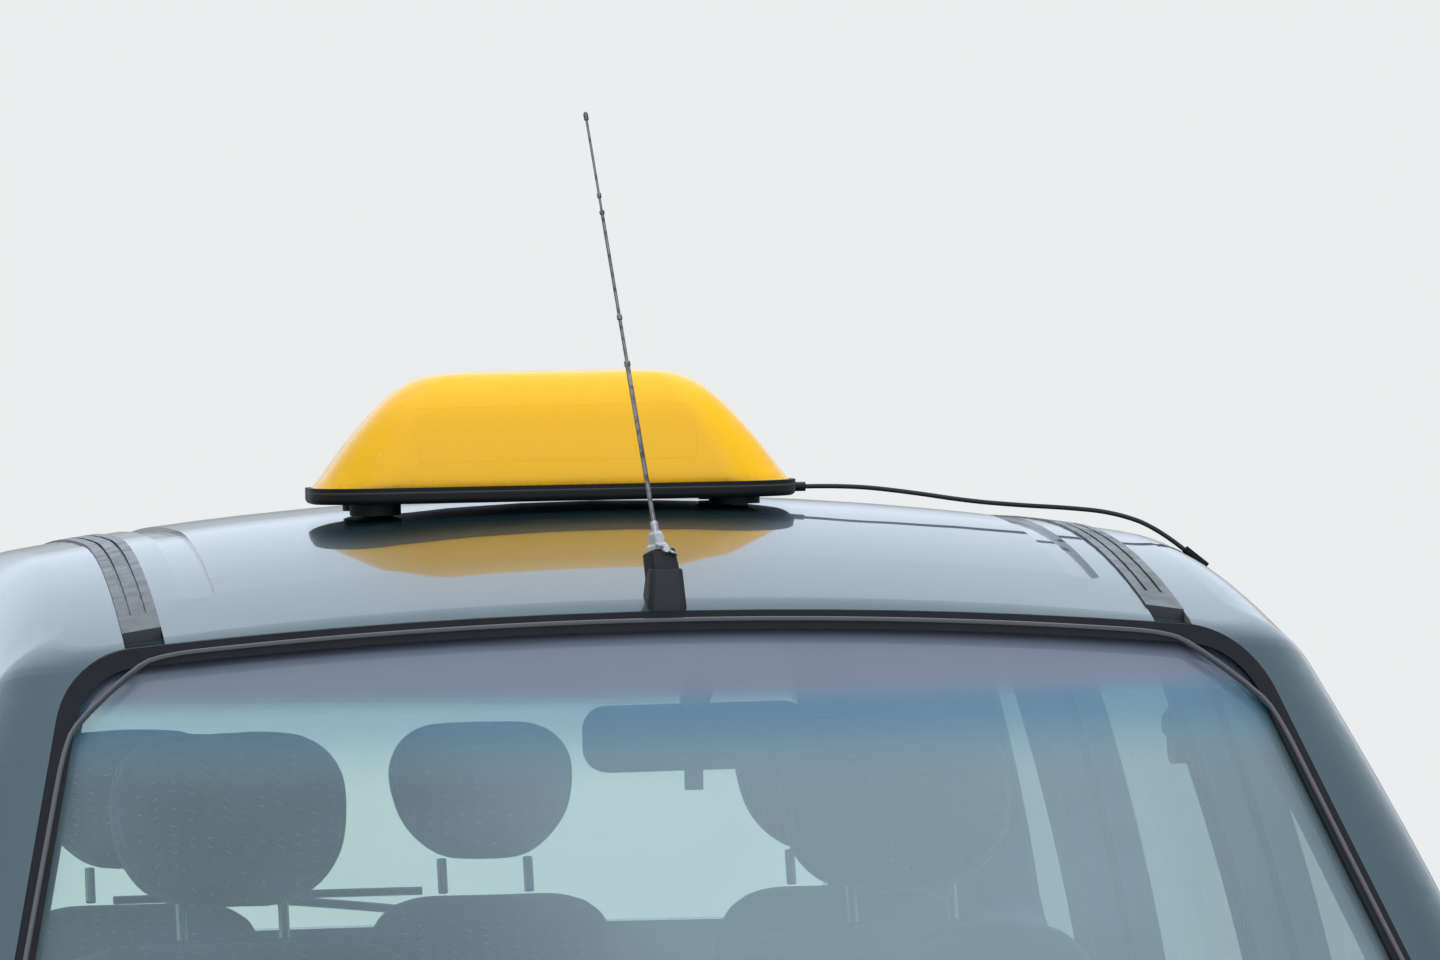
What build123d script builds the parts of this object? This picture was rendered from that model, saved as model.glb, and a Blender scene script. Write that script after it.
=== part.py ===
from build123d import *
from math import atan2, cos, degrees, hypot, radians, sin, sqrt
import os

# Compact five-door people carrier of about 2000 in taxi use, with a roof sign, its lead and an aerial.
#
# Millimetres. +Z is up, the nose points along -Y and the car's own left side is +X. The origin is on
# the ground, midway between the bumpers. The outer skin is two lofts, a lower body and a greenhouse.
# Every panel is a layer between two depths under that skin, cut by an outline seen from the side, the
# front or above. Left-hand pieces are drawn, right-hand ones are their mirror images.

# Overall sizes
LENGTH = 4170
HALF_LENGTH = LENGTH / 2
HALF_WIDTH = 860
WHEELBASE = 2580
FRONT_OVERHANG = 800
FRONT_AXLE_Y = -HALF_LENGTH + FRONT_OVERHANG
REAR_AXLE_Y = FRONT_AXLE_Y + WHEELBASE
HALF_TRACK = 730
SILL_BOTTOM = 170
ROOF_TOP = 1615

# Wheels
TYRE_RADIUS = 310
TYRE_WIDTH = 190
RIM_RADIUS = 196
RIM_WIDTH = 165
ARCH_RADIUS = 350
ARCH_LIP = 18
LINER_RADIUS = 362
LINER_THICKNESS = 5
LINER_INNER_X = 438

# Depths of the layers under the outer skin
PANEL = 26
DOOR_LOWER = 68
DOOR_UPPER = 34
REBATE = 10
FLANGE = 32
GATE = 50
ROOF_WALL = 28
HEADLINER = 9
GLASS_DEPTH = 6
GLASS_THICKNESS = 5
LAMP_LENS = 4
SEAL_PROUD = 3
SEAL_WIDTH = 18
FIT_GAP = 0.3
WALL_LOWER = DOOR_LOWER + REBATE + FLANGE
WALL_UPPER = DOOR_UPPER + REBATE + FLANGE
TAIL_WALL = GATE + REBATE + FLANGE

# Shut lines
PANEL_GAP = 5
DOOR_GAP = 6
DOOR_TAPER = 2.5

# Heights of the main horizontal lines
BUMPER_TOP = 560
LAMP_BOTTOM = 566
LAMP_TOP = 698
BELT = 978
SILL_TOP = 335

# Roof and bonnet silhouettes on the centre line, each an arc either side of its highest point
ROOF_APEX_Y = 130
ROOF_FRONT_RADIUS = 2700
ROOF_REAR_RADIUS = 16000
ROOF_CROWN_RADIUS = 3560
ROOF_EDGE_RADIUS = 115
BONNET_APEX_Y = -921
BONNET_APEX_Z = 1014
BONNET_FRONT_RADIUS = 2225
BELT_RADIUS = 90000
BONNET_CROWN_RADIUS = 5200
SHOULDER_RADIUS = 62

# Plan sections of the lower body and of the greenhouse, from the bottom up. Columns: height, nose, tail,
# half width, how far the nose and the tail are bowed, how far the sides have come in at the front and
# rear corners, and the radii of those corners.
LOWER_SECTIONS = (
    (SILL_BOTTOM, -2022, 2030, 812, 235, 105, 45, 60, 240, 170),
    (330, -2075, 2077, 850, 245, 110, 45, 60, 240, 170),
    (500, 3 - HALF_LENGTH, HALF_LENGTH - 1, HALF_WIDTH, 250, 110, 45, 60, 240, 170),
    (740, -2034, 2050, 857, 245, 105, 45, 60, 235, 165),
    (1060, -1880, 2008, 828, 235, 95, 45, 60, 220, 155),
)
GREENHOUSE_SECTIONS = (
    (860, -1405, 2032, 842, 150, 85, 20, 70, 125, 150),
    (1060, -1148, 2008, 806, 138, 85, 22, 70, 130, 150),
    (1290, -852, 1955, 745, 122, 80, 24, 66, 138, 150),
    (1480, -622, 1882, 675, 106, 75, 26, 62, 146, 150),
    (1660, -420, 1800, 588, 90, 70, 28, 58, 150, 150),
)
WINDSCREEN_STRETCH = 1.6


def plan_section(row, side, nose, tail):
    """One closed plan outline: bowed nose, sides and tail joined by four rounded corners."""
    z, front, rear, half, front_bow, rear_bow, front_in, rear_in, front_r, rear_r = row
    front += nose
    rear -= tail
    half -= side
    fx, fy = half - front_in, front + front_bow
    rx, ry = half - rear_in, rear - rear_bow
    face = make_face(
        [
            ThreePointArc((-fx, fy), (0, front), (fx, fy)),
            ThreePointArc((fx, fy), (half, 0), (rx, ry)),
            ThreePointArc((rx, ry), (0, rear), (-rx, ry)),
            ThreePointArc((-rx, ry), (-half, 0), (-fx, fy)),
        ]
    )
    face = fillet([v for v in face.vertices() if v.Y < 0], front_r - side)
    tail_corners = [v for v in face.vertices() if hypot(abs(v.X) - rx, v.Y - ry) < 0.01]
    return Pos(0, 0, z) * fillet(tail_corners, rear_r - side)


def arc_drop(radius, distance):
    """How far an arc has fallen at a distance from its highest point."""
    return radius - sqrt(radius**2 - distance**2)


def above(apex_y, apex_z, front_radius, rear_radius, crown_radius, inset):
    """Everything above a crowned surface whose centre line is two arcs meeting at the apex."""
    front_y, rear_y, sky = -2330, 2330, 2700
    z = apex_z - inset
    front_r, rear_r = front_radius - inset, rear_radius - inset
    front_y = max(front_y, apex_y - 0.9 * front_r)
    mid_front, mid_rear = (front_y + apex_y) / 2, (rear_y + apex_y) / 2
    front_z = z - arc_drop(front_r, apex_y - front_y)
    rear_z = z - arc_drop(rear_r, rear_y - apex_y)
    face = make_face(
        [
            ThreePointArc(
                (0, front_y, front_z), (0, mid_front, z - arc_drop(front_r, apex_y - mid_front)), (0, apex_y, z)
            ),
            ThreePointArc(
                (0, apex_y, z), (0, mid_rear, z - arc_drop(rear_r, mid_rear - apex_y)), (0, rear_y, rear_z)
            ),
            Polyline((0, rear_y, rear_z), (0, rear_y, sky), (0, front_y, sky), (0, front_y, front_z)),
        ]
    )
    half_angle = 22
    spine = Axis((0, 0, apex_z - crown_radius), (0, 1, 0))
    return revolve(face.rotate(spine, -half_angle), axis=spine, revolution_arc=2 * half_angle)


def rim_of(faces):
    """Edges that bound a group of faces, without those that two of them share."""
    edges = [e for f in faces for e in f.edges()]
    return [e for e in edges if sum(e.is_same(other) for other in edges) == 1]


def crowned(blank, cutter, radius):
    """A lofted blank cut by the surface above it, its rim rounded where a radius is given."""
    solid = blank - cutter
    if radius == 0:
        return solid
    return fillet(rim_of([f for f in solid.faces() if f.geom_type == GeomType.REVOLUTION]), radius)


def lower_body(side=0, nose=None, tail=None, top=None, rim=0):
    """The lower body at a depth under its skin. Only the outside itself has its rim rounded."""
    nose, tail, top = (side if v is None else v for v in (nose, tail, top))
    blank = loft([plan_section(row, side, nose, tail) for row in LOWER_SECTIONS])
    cutter = above(BONNET_APEX_Y, BONNET_APEX_Z, BONNET_FRONT_RADIUS, BELT_RADIUS, BONNET_CROWN_RADIUS, top)
    return crowned(blank, cutter, rim)


def greenhouse(side=0, nose=None, tail=None, roof=None, rim=0):
    """The greenhouse at a depth under its skin."""
    nose, tail, roof = (side if v is None else v for v in (nose, tail, roof))
    stretched = nose * WINDSCREEN_STRETCH
    blank = loft([plan_section(row, side, stretched, tail) for row in GREENHOUSE_SECTIONS])
    cutter = above(ROOF_APEX_Y, ROOF_TOP, ROOF_FRONT_RADIUS, ROOF_REAR_RADIUS, ROOF_CROWN_RADIUS, roof)
    return crowned(blank, cutter, rim)


def roof_height(x, y):
    """Height of the roof skin above a point."""
    radius = ROOF_FRONT_RADIUS if y < ROOF_APEX_Y else ROOF_REAR_RADIUS
    spine = ROOF_TOP - ROOF_CROWN_RADIUS
    return spine + sqrt((ROOF_TOP - arc_drop(radius, abs(y - ROOF_APEX_Y)) - spine) ** 2 - x**2)


def box(x0, x1, y0, y1, z0, z1):
    return Pos((x0 + x1) / 2, (y0 + y1) / 2, (z0 + z1) / 2) * Box(x1 - x0, y1 - y0, z1 - z0)


def mirrored(solid):
    return mirror(solid, about=Plane.YZ)


def pair(solid):
    """A left-hand piece with its right-hand twin."""
    return [solid, mirrored(solid)]


def cylinder_between(a, b, radius):
    """A round bar from one point to another."""
    a, b = Vector(*a), Vector(*b)
    return extrude(Plane(a, z_dir=b - a) * Circle(radius), (b - a).length)


def outline(corners):
    """A closed flat outline whose corners are given as (across, up, corner radius)."""
    points = [(u, v) for u, v, _ in corners]
    return make_face(FilletPolyline(*points, radius=[r for _, _, r in corners], close=True))


def grown(face, amount):
    return offset(face, amount, kind=Kind.INTERSECTION) if amount else face


def side_prism(face, inner_x=300, outer_x=None):
    """A side-view outline carried across the left half of the car."""
    outer_x = HALF_WIDTH + 40 if outer_x is None else outer_x
    return extrude(Pos(inner_x, 0, 0) * (Plane.YZ * face), outer_x - inner_x)


def tapered_side_prism(face):
    """A side-view outline that shrinks inwards, so that a door edge swings clear."""
    return extrude(Pos(HALF_WIDTH + 2, 0, 0) * (Plane.YZ * face), -420, taper=DOOR_TAPER)


def front_prism(face, front_y, rear_y):
    """A front-view outline carried along the car."""
    return extrude(Pos(0, front_y, 0) * (Plane.XZ * face), front_y - rear_y)


def plan_prism(face, low, high):
    return extrude(Pos(0, 0, low) * face, high - low)


def profile_plate(points, thickness, half_width):
    """A bent sheet: a side-view line, its thickness to the right of it, as wide as the cabin."""
    line = Polyline(*points)
    edge = offset(line, thickness, side=Side.RIGHT, kind=Kind.INTERSECTION)
    face = make_face(edge.edges())
    return extrude(Pos(-half_width, 0, 0) * (Plane.YZ * face), 2 * half_width)


# Side-view outlines, as (y, z, corner radius)
FRONT_DOOR = (
    (-868, SILL_TOP, 60),
    (127, SILL_TOP, 40),
    (127, 1508, 30),
    (-250, 1497, 60),
    (-864, 1000, 25),
)
REAR_DOOR = (
    (133, SILL_TOP, 40),
    (1078, SILL_TOP, 20),
    (1085, 960, 60),
    (1035, 1488, 60),
    (133, 1508, 30),
)
FRONT_WINDOW = ((-786, BELT, 20), (70, BELT, 20), (70, 1456, 25), (-224, 1447, 60))
REAR_WINDOW = ((190, BELT, 20), (1030, BELT, 30), (984, 1442, 60), (190, 1456, 25))
QUARTER_WINDOW = ((1148, BELT + 10, 30), (1690, BELT + 30, 50), (1560, 1405, 60), (1104, 1430, 40))

# Front-view outlines, as (x, z, corner radius)
TAILGATE_TOP_Y = 1792
TAILGATE = (
    (-600, LAMP_BOTTOM, 40),
    (600, LAMP_BOTTOM, 40),
    (645, 720, 60),
    (645, 960, 80),
    (548, 1500, 20),
    (548, 1700, 5),
    (-548, 1700, 5),
    (-548, 1500, 20),
    (-645, 960, 80),
    (-645, 720, 60),
)
TAIL_WINDOW = ((-545, 1010, 60), (545, 1010, 60), (468, 1418, 80), (-468, 1418, 80))
TAIL_LAMP = ((655, 690, 20), (900, 690, 20), (900, 1040, 20), (655, 1040, 20))
TAIL_LAMP_FRONT_Y = 1800

WINDSCREEN_FOOT_Z = 1003
WINDSCREEN_HEAD_Z = 1484
WINDSCREEN_FOOT_HALF = 722
WINDSCREEN_HEAD_HALF = 592
WINDSCREEN_FOOT_RISE = 12
WINDSCREEN_HEAD_RISE = 33
WINDSCREEN_FOOT_RADIUS = 50
WINDSCREEN_HEAD_RADIUS = 90


def windscreen_outline(amount=0):
    """The windscreen's rubber from the front: straight sides, and a head and a foot that are arched."""
    foot, head = WINDSCREEN_FOOT_HALF, WINDSCREEN_HEAD_HALF
    foot_z, head_z = WINDSCREEN_FOOT_Z, WINDSCREEN_HEAD_Z
    face = make_face(
        [
            ThreePointArc((-foot, foot_z), (0, foot_z + WINDSCREEN_FOOT_RISE), (foot, foot_z)),
            Line((foot, foot_z), (head, head_z)),
            ThreePointArc((head, head_z), (0, head_z + WINDSCREEN_HEAD_RISE), (-head, head_z)),
            Line((-head, head_z), (-foot, foot_z)),
        ]
    )
    low, high = face.vertices().group_by(Axis.Y)
    face = fillet(low, WINDSCREEN_FOOT_RADIUS)
    high = face.vertices().sort_by(Axis.Y)[-2:]
    return grown(fillet(high, WINDSCREEN_HEAD_RADIUS), amount)


def arch_cylinder(axle_y, radius, inner_x, outer_x=HALF_WIDTH + 40):
    return Pos(inner_x, axle_y, TYRE_RADIUS) * extrude(Plane.YZ * Circle(radius), outer_x - inner_x)


# Skins at each depth. The name says what its inner face is: the panels', the doors' and so on.
LOWER = lower_body(rim=SHOULDER_RADIUS)
OUTER = LOWER + greenhouse(rim=ROOF_EDGE_RADIUS)
UNDER_PANEL = lower_body(PANEL)
UNDER_DOOR = lower_body(DOOR_LOWER, nose=PANEL, tail=GATE, top=PANEL) + greenhouse(DOOR_UPPER, tail=GATE)
UNDER_REBATE = lower_body(DOOR_LOWER + REBATE, nose=PANEL, tail=GATE + REBATE, top=PANEL) + greenhouse(
    DOOR_UPPER + REBATE, tail=GATE + REBATE
)
CABIN = lower_body(WALL_LOWER, nose=PANEL, tail=TAIL_WALL, top=PANEL) + greenhouse(
    WALL_UPPER, nose=GATE, tail=TAIL_WALL, roof=ROOF_WALL
)
UNDER_GLASS = greenhouse(GLASS_DEPTH + GLASS_THICKNESS)
GLASS_LAYER = greenhouse(GLASS_DEPTH) - UNDER_GLASS
SHELL = OUTER - CABIN

# Body shell
PILLAR_FRONT_Y = -915
DITCH_X = 497
DITCH_WIDTH = 39
DITCH_DEPTH = 9
ROOF_FRONT_Y = -700
BONNET_REAR_Y = -1300
BONNET_SIDE_REAR = 730
BONNET_SIDE_FRONT = 640
BONNET_LIP_Z = LAMP_TOP + PANEL_GAP
BONNET_HINGE = (-1292, 950)
BONNET_HINGE_X = 300
HINGE_PIN_RADIUS = 4
COWL_FRONT_Y = -1254
COWL_LIP_HALF = 650
COWL_LIP = 30
COWL_REAR_Y = -1090
COWL_HALF = 716
TROUGH_Z = 930
BUMPER_REAR_Y = 1500
BUMPER_FRONT_Y = -1500
SHELF_Z = 690
FIREWALL_Y = -1200
FLOOR_Z = 205
SEAT_RISER_Y = 800
SEAT_RISER_Z = 352
BOOT_RISER_Y = 1100
BOOT_Z = 440
FLOOR_REAR_Y = 1984
SHEET = 14
APERTURE_FLANGE = 45
WINDOW_STEP = 3


def arch_cut(axle_y, inner_x):
    """The space of one left-hand wheel arch: a tight lip in the skin, a wider hollow behind it."""
    lip_x = HALF_WIDTH - ARCH_LIP
    return arch_cylinder(axle_y, ARCH_RADIUS, inner_x) + arch_cylinder(axle_y, LINER_RADIUS, inner_x, lip_x)


def door_opening(corners):
    """What a door and its swing take out of the side: a rebate, and a smaller hole right through."""
    face = outline(corners)
    rebate = side_prism(grown(face, DOOR_GAP)) - UNDER_REBATE
    return [rebate, side_prism(grown(face, -APERTURE_FLANGE))]


def tailgate_opening():
    face = outline(TAILGATE)
    rebate = front_prism(grown(face, DOOR_GAP), TAILGATE_TOP_Y - 9, HALF_LENGTH + 50) - UNDER_REBATE
    return [rebate, front_prism(grown(face, -APERTURE_FLANGE), TAILGATE_TOP_Y - 9, HALF_LENGTH + 50)]


def screen_zone():
    """Where the windscreen and its rubber sit in the shell."""
    face = windscreen_outline(FIT_GAP)
    return front_prism(face, -1500, -300) - greenhouse(GLASS_DEPTH + GLASS_THICKNESS + FIT_GAP)


def glass_seat(prism):
    """The step in a frame that a fixed pane lies on."""
    return prism - UNDER_GLASS


SCREEN_ZONE = screen_zone()
SCREEN_HOLE = front_prism(windscreen_outline(-SEAL_WIDTH - 8), -1500, -300)
GATE_OPENING = tailgate_opening()


def make_body_side():
    """Pillars, sill, roof rail and rear quarter of one side, in one pressing as deep as the wall."""
    side = SHELL & box(0, 900, BONNET_REAR_Y, HALF_LENGTH + 20, 150, 1700)
    fender_y = FRONT_DOOR[0][0] - DOOR_GAP
    quarter = outline(QUARTER_WINDOW)
    side -= [
        box(0, 900, -1400, PILLAR_FRONT_Y, 150, 950),
        box(0, 900, -1400, fender_y, 150, 950) - UNDER_PANEL,
        box(0, COWL_HALF, BONNET_REAR_Y - 10, -700, 900, WINDSCREEN_FOOT_Z + 3),
        box(-1, COWL_LIP_HALF + FIT_GAP, BONNET_REAR_Y - 10, -700, 900, WINDSCREEN_FOOT_Z + COWL_LIP + 30),
        box(0, DITCH_X, -900, TAILGATE_TOP_Y, 1350, 1700),
        box(0, 500, 1700, HALF_LENGTH + 20, 150, LAMP_BOTTOM),
    ]
    side -= door_opening(FRONT_DOOR) + door_opening(REAR_DOOR)
    side -= GATE_OPENING
    curved_cuts = (
        glass_seat(side_prism(quarter)),
        side_prism(grown(quarter, -14)),
        SCREEN_HOLE,
        SCREEN_ZONE,
        arch_cut(REAR_AXLE_Y, 300),
        arch_cylinder(FRONT_AXLE_Y, LINER_RADIUS, 300),
        roof_ditch(),
        front_prism(outline(TAIL_LAMP), TAIL_LAMP_FRONT_Y, HALF_LENGTH + 20) - UNDER_DOOR,
        box(0, 900, BUMPER_REAR_Y, HALF_LENGTH + 20, 100, BUMPER_TOP) - UNDER_DOOR,
    )
    for cut in curved_cuts:
        side -= cut
    return side.solids().sort_by(SortBy.VOLUME)[-1]


def roof_ditch():
    """The long groove that the left roof strip lies in, open at the windscreen end."""
    strip = box(DITCH_X, DITCH_X + DITCH_WIDTH, -640, TAILGATE_TOP_Y - 60, 1350, 1700)
    return strip - greenhouse(0, roof=DITCH_DEPTH)


def make_roof():
    """The roof skin between the ditches, with two pressed channels beside them, down to the header."""
    half = DITCH_X - FIT_GAP
    roof = SHELL & box(-half, half, -900, TAILGATE_TOP_Y - DOOR_GAP - 3, 1350, 1700)
    roof -= SCREEN_HOLE
    roof -= SCREEN_ZONE
    for cut in GATE_OPENING:
        roof -= cut
    for x in (CHANNEL_X, -CHANNEL_X):
        roof -= roof_channel(x)
    return roof.solids().sort_by(SortBy.VOLUME)[-1]


CHANNEL_X = 452
CHANNEL_HALF_WIDTH = 17
CHANNEL_FRONT_Y = -395
CHANNEL_REAR_Y = 1500
CHANNEL_DEPTH = 5


def roof_channel(x):
    """A shallow pressed channel with round ends, sunk to one depth all along the roof."""
    length = CHANNEL_REAR_Y - CHANNEL_FRONT_Y
    slot = SlotOverall(length, 2 * CHANNEL_HALF_WIDTH).face().rotate(Axis.Z, 90)
    middle = (CHANNEL_REAR_Y + CHANNEL_FRONT_Y) / 2
    prism = extrude(Pos(x, middle, 1400) * slot, 300)
    return prism - greenhouse(0, roof=CHANNEL_DEPTH)


def make_roof_strips():
    """Black rubber strips in the ditches, with two fine grooves and a moulded cap at the front end."""
    low, high = DITCH_X + FIT_GAP, DITCH_X + DITCH_WIDTH - FIT_GAP
    rear_y = STRIP_REAR_Y - FIT_GAP
    band = box(low, high, STRIP_FRONT_Y, rear_y, 1350, 1700)
    strip = band - (band - greenhouse(0, roof=-2)) - greenhouse(0, roof=DITCH_DEPTH)
    grooves = [
        box(x - 1.5, x + 1.5, STRIP_FRONT_Y + 60, rear_y + 1, 1350, 1700) - greenhouse(0, roof=1)
        for x in (low + 0.3 * (high - low), low + 0.7 * (high - low))
    ]
    return pair(strip - grooves)


STRIP_FRONT_Y = -489
STRIP_REAR_Y = TAILGATE_TOP_Y - 60


def make_glass(face_prism):
    """A curved pane, a hair smaller than the hole it closes."""
    return GLASS_LAYER & face_prism


def make_windscreen():
    return GLASS_LAYER & front_prism(windscreen_outline(-8), -1500, -300)


def screen_ring(outside, inside):
    """A ring round the windscreen between two outlines, as a prism along the car."""
    return front_prism(windscreen_outline(outside) - windscreen_outline(inside), -1500, -300)


def make_windscreen_seal():
    """A black rubber ring that fills the step round the glass and laps over its edge."""
    crown = greenhouse(-SEAL_PROUD)
    ring = (crown & screen_ring(0, -8 + FIT_GAP)) - UNDER_GLASS
    lip = (crown & screen_ring(-1, -SEAL_WIDTH)) - greenhouse(GLASS_DEPTH - FIT_GAP)
    return ring + lip


def make_door(corners, window):
    """A whole door: its outer skin and inner panel as one thickness, with the window cut through."""
    slab = OUTER & tapered_side_prism(outline(corners))
    return slab - [UNDER_DOOR, side_prism(outline(window))]


def flank_x(y, z):
    """How far out the lower body's side is at a place between its third and last plan sections."""
    rows = LOWER_SECTIONS[3:] if z > LOWER_SECTIONS[3][0] else LOWER_SECTIONS[2:4]
    low, high = rows[0], rows[1]
    share = (z - low[0]) / (high[0] - low[0])
    half = low[3] + share * (high[3] - low[3])
    if y < 0:
        return half - low[6] * (y / (low[1] + low[4])) ** 2
    return half - low[7] * (y / (low[2] - low[5])) ** 2


def door_handle(y):
    """A pull handle that bridges a finger scoop in the skin."""
    z = HANDLE_Z
    x = flank_x(y, z) + 3
    bar = fillet(Box(34, 176, 26).edges(), 8) - Pos(-4, 0, 0) * Box(22, 118, 40)
    scoop = Pos(x + 12, y, z) * scale(Sphere(1), by=(32, 66, 30))
    return Pos(x, y, z) * bar, scoop


def make_front_door():
    bar, scoop = door_handle(FRONT_DOOR[1][0] - 130)
    mirror_case = make_door_mirror()
    return make_door(FRONT_DOOR, FRONT_WINDOW) - scoop + [bar - UNDER_DOOR, mirror_case - OUTER]


def make_rear_door():
    bar, scoop = door_handle(REAR_DOOR[2][0] - 130)
    door = make_door(REAR_DOOR, REAR_WINDOW) - scoop + (bar - UNDER_DOOR)
    return door - arch_cylinder(REAR_AXLE_Y, ARCH_RADIUS + DOOR_ARCH_FLANGE, 300)


HANDLE_Z = 862
DOOR_ARCH_FLANGE = 26


def make_bonnet():
    """The bonnet down to its lip over the grille, its rear edge straight in front of the cowl."""
    rear, front = BONNET_SIDE_REAR, BONNET_SIDE_FRONT
    face = make_face(
        Polyline(
            (-front, -HALF_LENGTH - 60),
            (front, -HALF_LENGTH - 60),
            (front, -1990),
            (rear, BONNET_REAR_Y),
            (-rear, BONNET_REAR_Y),
            (-front, -1990),
            close=True,
        )
    )
    bonnet = (LOWER & plan_prism(face, BONNET_LIP_Z, 1100)) - UNDER_PANEL
    y, z = BONNET_HINGE
    for x in (-BONNET_HINGE_X, BONNET_HINGE_X):
        eye = cylinder_between((x - 10, y, z), (x + 10, y, z), HINGE_PIN_RADIUS + 5)
        bore = cylinder_between((x - 11, y, z), (x + 11, y, z), HINGE_PIN_RADIUS + RUNNING_GAP)
        bonnet += eye + box(x - 10, x + 10, y - 14, y - 5, z - 6, z + 3) - bore
    return bonnet


def bonnet_brackets():
    """The two ears and the pin of each bonnet hinge, standing on the trough."""
    y, z = BONNET_HINGE
    ears = []
    for x in (-BONNET_HINGE_X, BONNET_HINGE_X):
        ears.append(cylinder_between((x - 18, y, z), (x + 18, y, z), HINGE_PIN_RADIUS))
        for inner in (x - 18, x + 11):
            ears.append(cylinder_between((inner, y, z), (inner + 7, y, z), HINGE_PIN_RADIUS + 2))
            ears.append(box(inner, inner + 7, y - 2, y + 12, TROUGH_Z - 1, z))
    return ears


def bonnet_hole():
    """The bonnet's outline with the shut line round it."""
    rear, front = BONNET_SIDE_REAR + PANEL_GAP, BONNET_SIDE_FRONT + PANEL_GAP
    face = make_face(
        Polyline(
            (-front, -HALF_LENGTH - 60),
            (front, -HALF_LENGTH - 60),
            (front, -1990),
            (rear, BONNET_REAR_Y + PANEL_GAP),
            (-rear, BONNET_REAR_Y + PANEL_GAP),
            (-front, -1990),
            close=True,
        )
    )
    return plan_prism(face, LAMP_TOP - 60, 1100)


def make_fender():
    """One front wing, from the lamp to the door and up to the windscreen pillar's foot."""
    rear_y = FRONT_DOOR[0][0] - DOOR_GAP
    fender = (LOWER & box(0, 900, -HALF_LENGTH - 60, rear_y, SILL_BOTTOM, 950 - FIT_GAP)) - UNDER_PANEL
    fender -= [
        bonnet_hole(),
        box(0, 900, -HALF_LENGTH - 60, FRONT_AXLE_Y, 100, BUMPER_TOP + FIT_GAP),
        front_prism(outline(HEADLAMP), -HALF_LENGTH - 60, HEADLAMP_REAR_Y),
        box(0, HEADLAMP[0][0] + 200, -HALF_LENGTH - 60, -1500, 500, BONNET_LIP_Z),
        box(0, COWL_HALF + PANEL_GAP, BONNET_REAR_Y - 1, -800, 850, 1100),
        arch_cut(FRONT_AXLE_Y, 300),
    ]
    return fender.solids().sort_by(SortBy.VOLUME)[-1]


HEADLAMP = ((432, 574, 25), (900, 590, 5), (900, LAMP_TOP - 8, 5), (455, LAMP_TOP, 30))
HEADLAMP_REAR_Y = -1760
HEADLAMP_DEPTH = 150
BOWLS = ((690, 640, 50), (565, 637, 44), (790, 645, 32))


def headlamp_outline():
    return front_prism(outline(HEADLAMP), -HALF_LENGTH - 60, HEADLAMP_REAR_Y - FIT_GAP)


def make_headlamp_lens():
    return (lower_body() - lower_body(LAMP_LENS)) & headlamp_outline()


def make_headlamp_bowl():
    """The lamp's housing behind the lens, with a round mirror bowl for each bulb."""
    housing = lower_body(LAMP_LENS + FIT_GAP) & headlamp_outline()
    housing &= box(0, 900, -HALF_LENGTH, HEADLAMP_REAR_Y, 500, 760)
    housing -= box(0, 640, -1850, HEADLAMP_REAR_Y + 1, 500, 760)
    for x, z, radius in BOWLS:
        front = -HALF_LENGTH + 45 + 215 * ((x - 430) / 400) ** 2
        bowl = Pos(x, front + 40, z) * Sphere(radius * 1.25)
        mouth = cylinder_between((x, front + 40, z), (x, -HALF_LENGTH - 10, z), radius * 1.22)
        housing -= mouth
        housing -= bowl
    return housing.solids().sort_by(SortBy.VOLUME)[-1]


GRILLE_HALF = 424
GRILLE_FRAME = 16
GRILLE_BAR = 7
GRILLE_SLOTS = 6
GRILLE_RIB = 4
GRILLE_BAYS = 8


def make_grille():
    """The upper grille: a frame, level bars with open slots between them and thin upright ribs."""
    low, high = BUMPER_TOP + FIT_GAP, LAMP_TOP
    width = 2 * (GRILLE_HALF - GRILLE_FRAME)
    slot_height = (high - low - 2 * GRILLE_FRAME - (GRILLE_SLOTS - 1) * GRILLE_BAR) / GRILLE_SLOTS
    slot_width = (width - (GRILLE_BAYS - 1) * GRILLE_RIB) / GRILLE_BAYS
    middle = (low + high) / 2
    slots = GridLocations(slot_width + GRILLE_RIB, slot_height + GRILLE_BAR, GRILLE_BAYS, GRILLE_SLOTS)
    face = Pos(0, middle) * Rectangle(2 * GRILLE_HALF, high - low)
    face -= [Pos(0, middle) * place * Rectangle(slot_width, slot_height) for place in slots]
    whole = (lower_body() & front_prism(face, -HALF_LENGTH - 60, -1800)) - UNDER_PANEL
    recess = box(-width / 2, width / 2, -HALF_LENGTH - 60, -1800, low + GRILLE_FRAME, high - GRILLE_FRAME)
    return whole - (recess - lower_body(7))


def make_front_bumper():
    """The bumper skin between the front arches, with its lower intake, two bars in it and the lamp holes."""
    band = box(-900, 900, -HALF_LENGTH - 60, BUMPER_FRONT_Y, 100, BUMPER_TOP)
    intake = outline(((-470, 235, 30), (470, 235, 30), (430, 330, 30), (-430, 330, 30)))
    face = intake - [Pos(0, z) * Rectangle(1000, 11) for z in (267, 298)]
    face += [Pos(x, 285) * Circle(46) for x in (-640, 640)]
    cut = arch_cut(FRONT_AXLE_Y, 300)
    holes = front_prism(face, -HALF_LENGTH - 60, -1700)
    return ((lower_body() & band) - UNDER_PANEL) - [holes, cut, mirrored(cut)]


def make_rear_bumper():
    """The bumper round the tail, its top edge the loading sill under the tailgate."""
    band = box(-900, 900, BUMPER_REAR_Y, HALF_LENGTH + 60, 100, BUMPER_TOP)
    cut = arch_cut(REAR_AXLE_Y, 300)
    plate = box(-262, 262, HALF_LENGTH - 16, HALF_LENGTH + 60, 400, 520)
    return ((lower_body() & band) - UNDER_DOOR) - [cut, mirrored(cut), plate]


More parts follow.
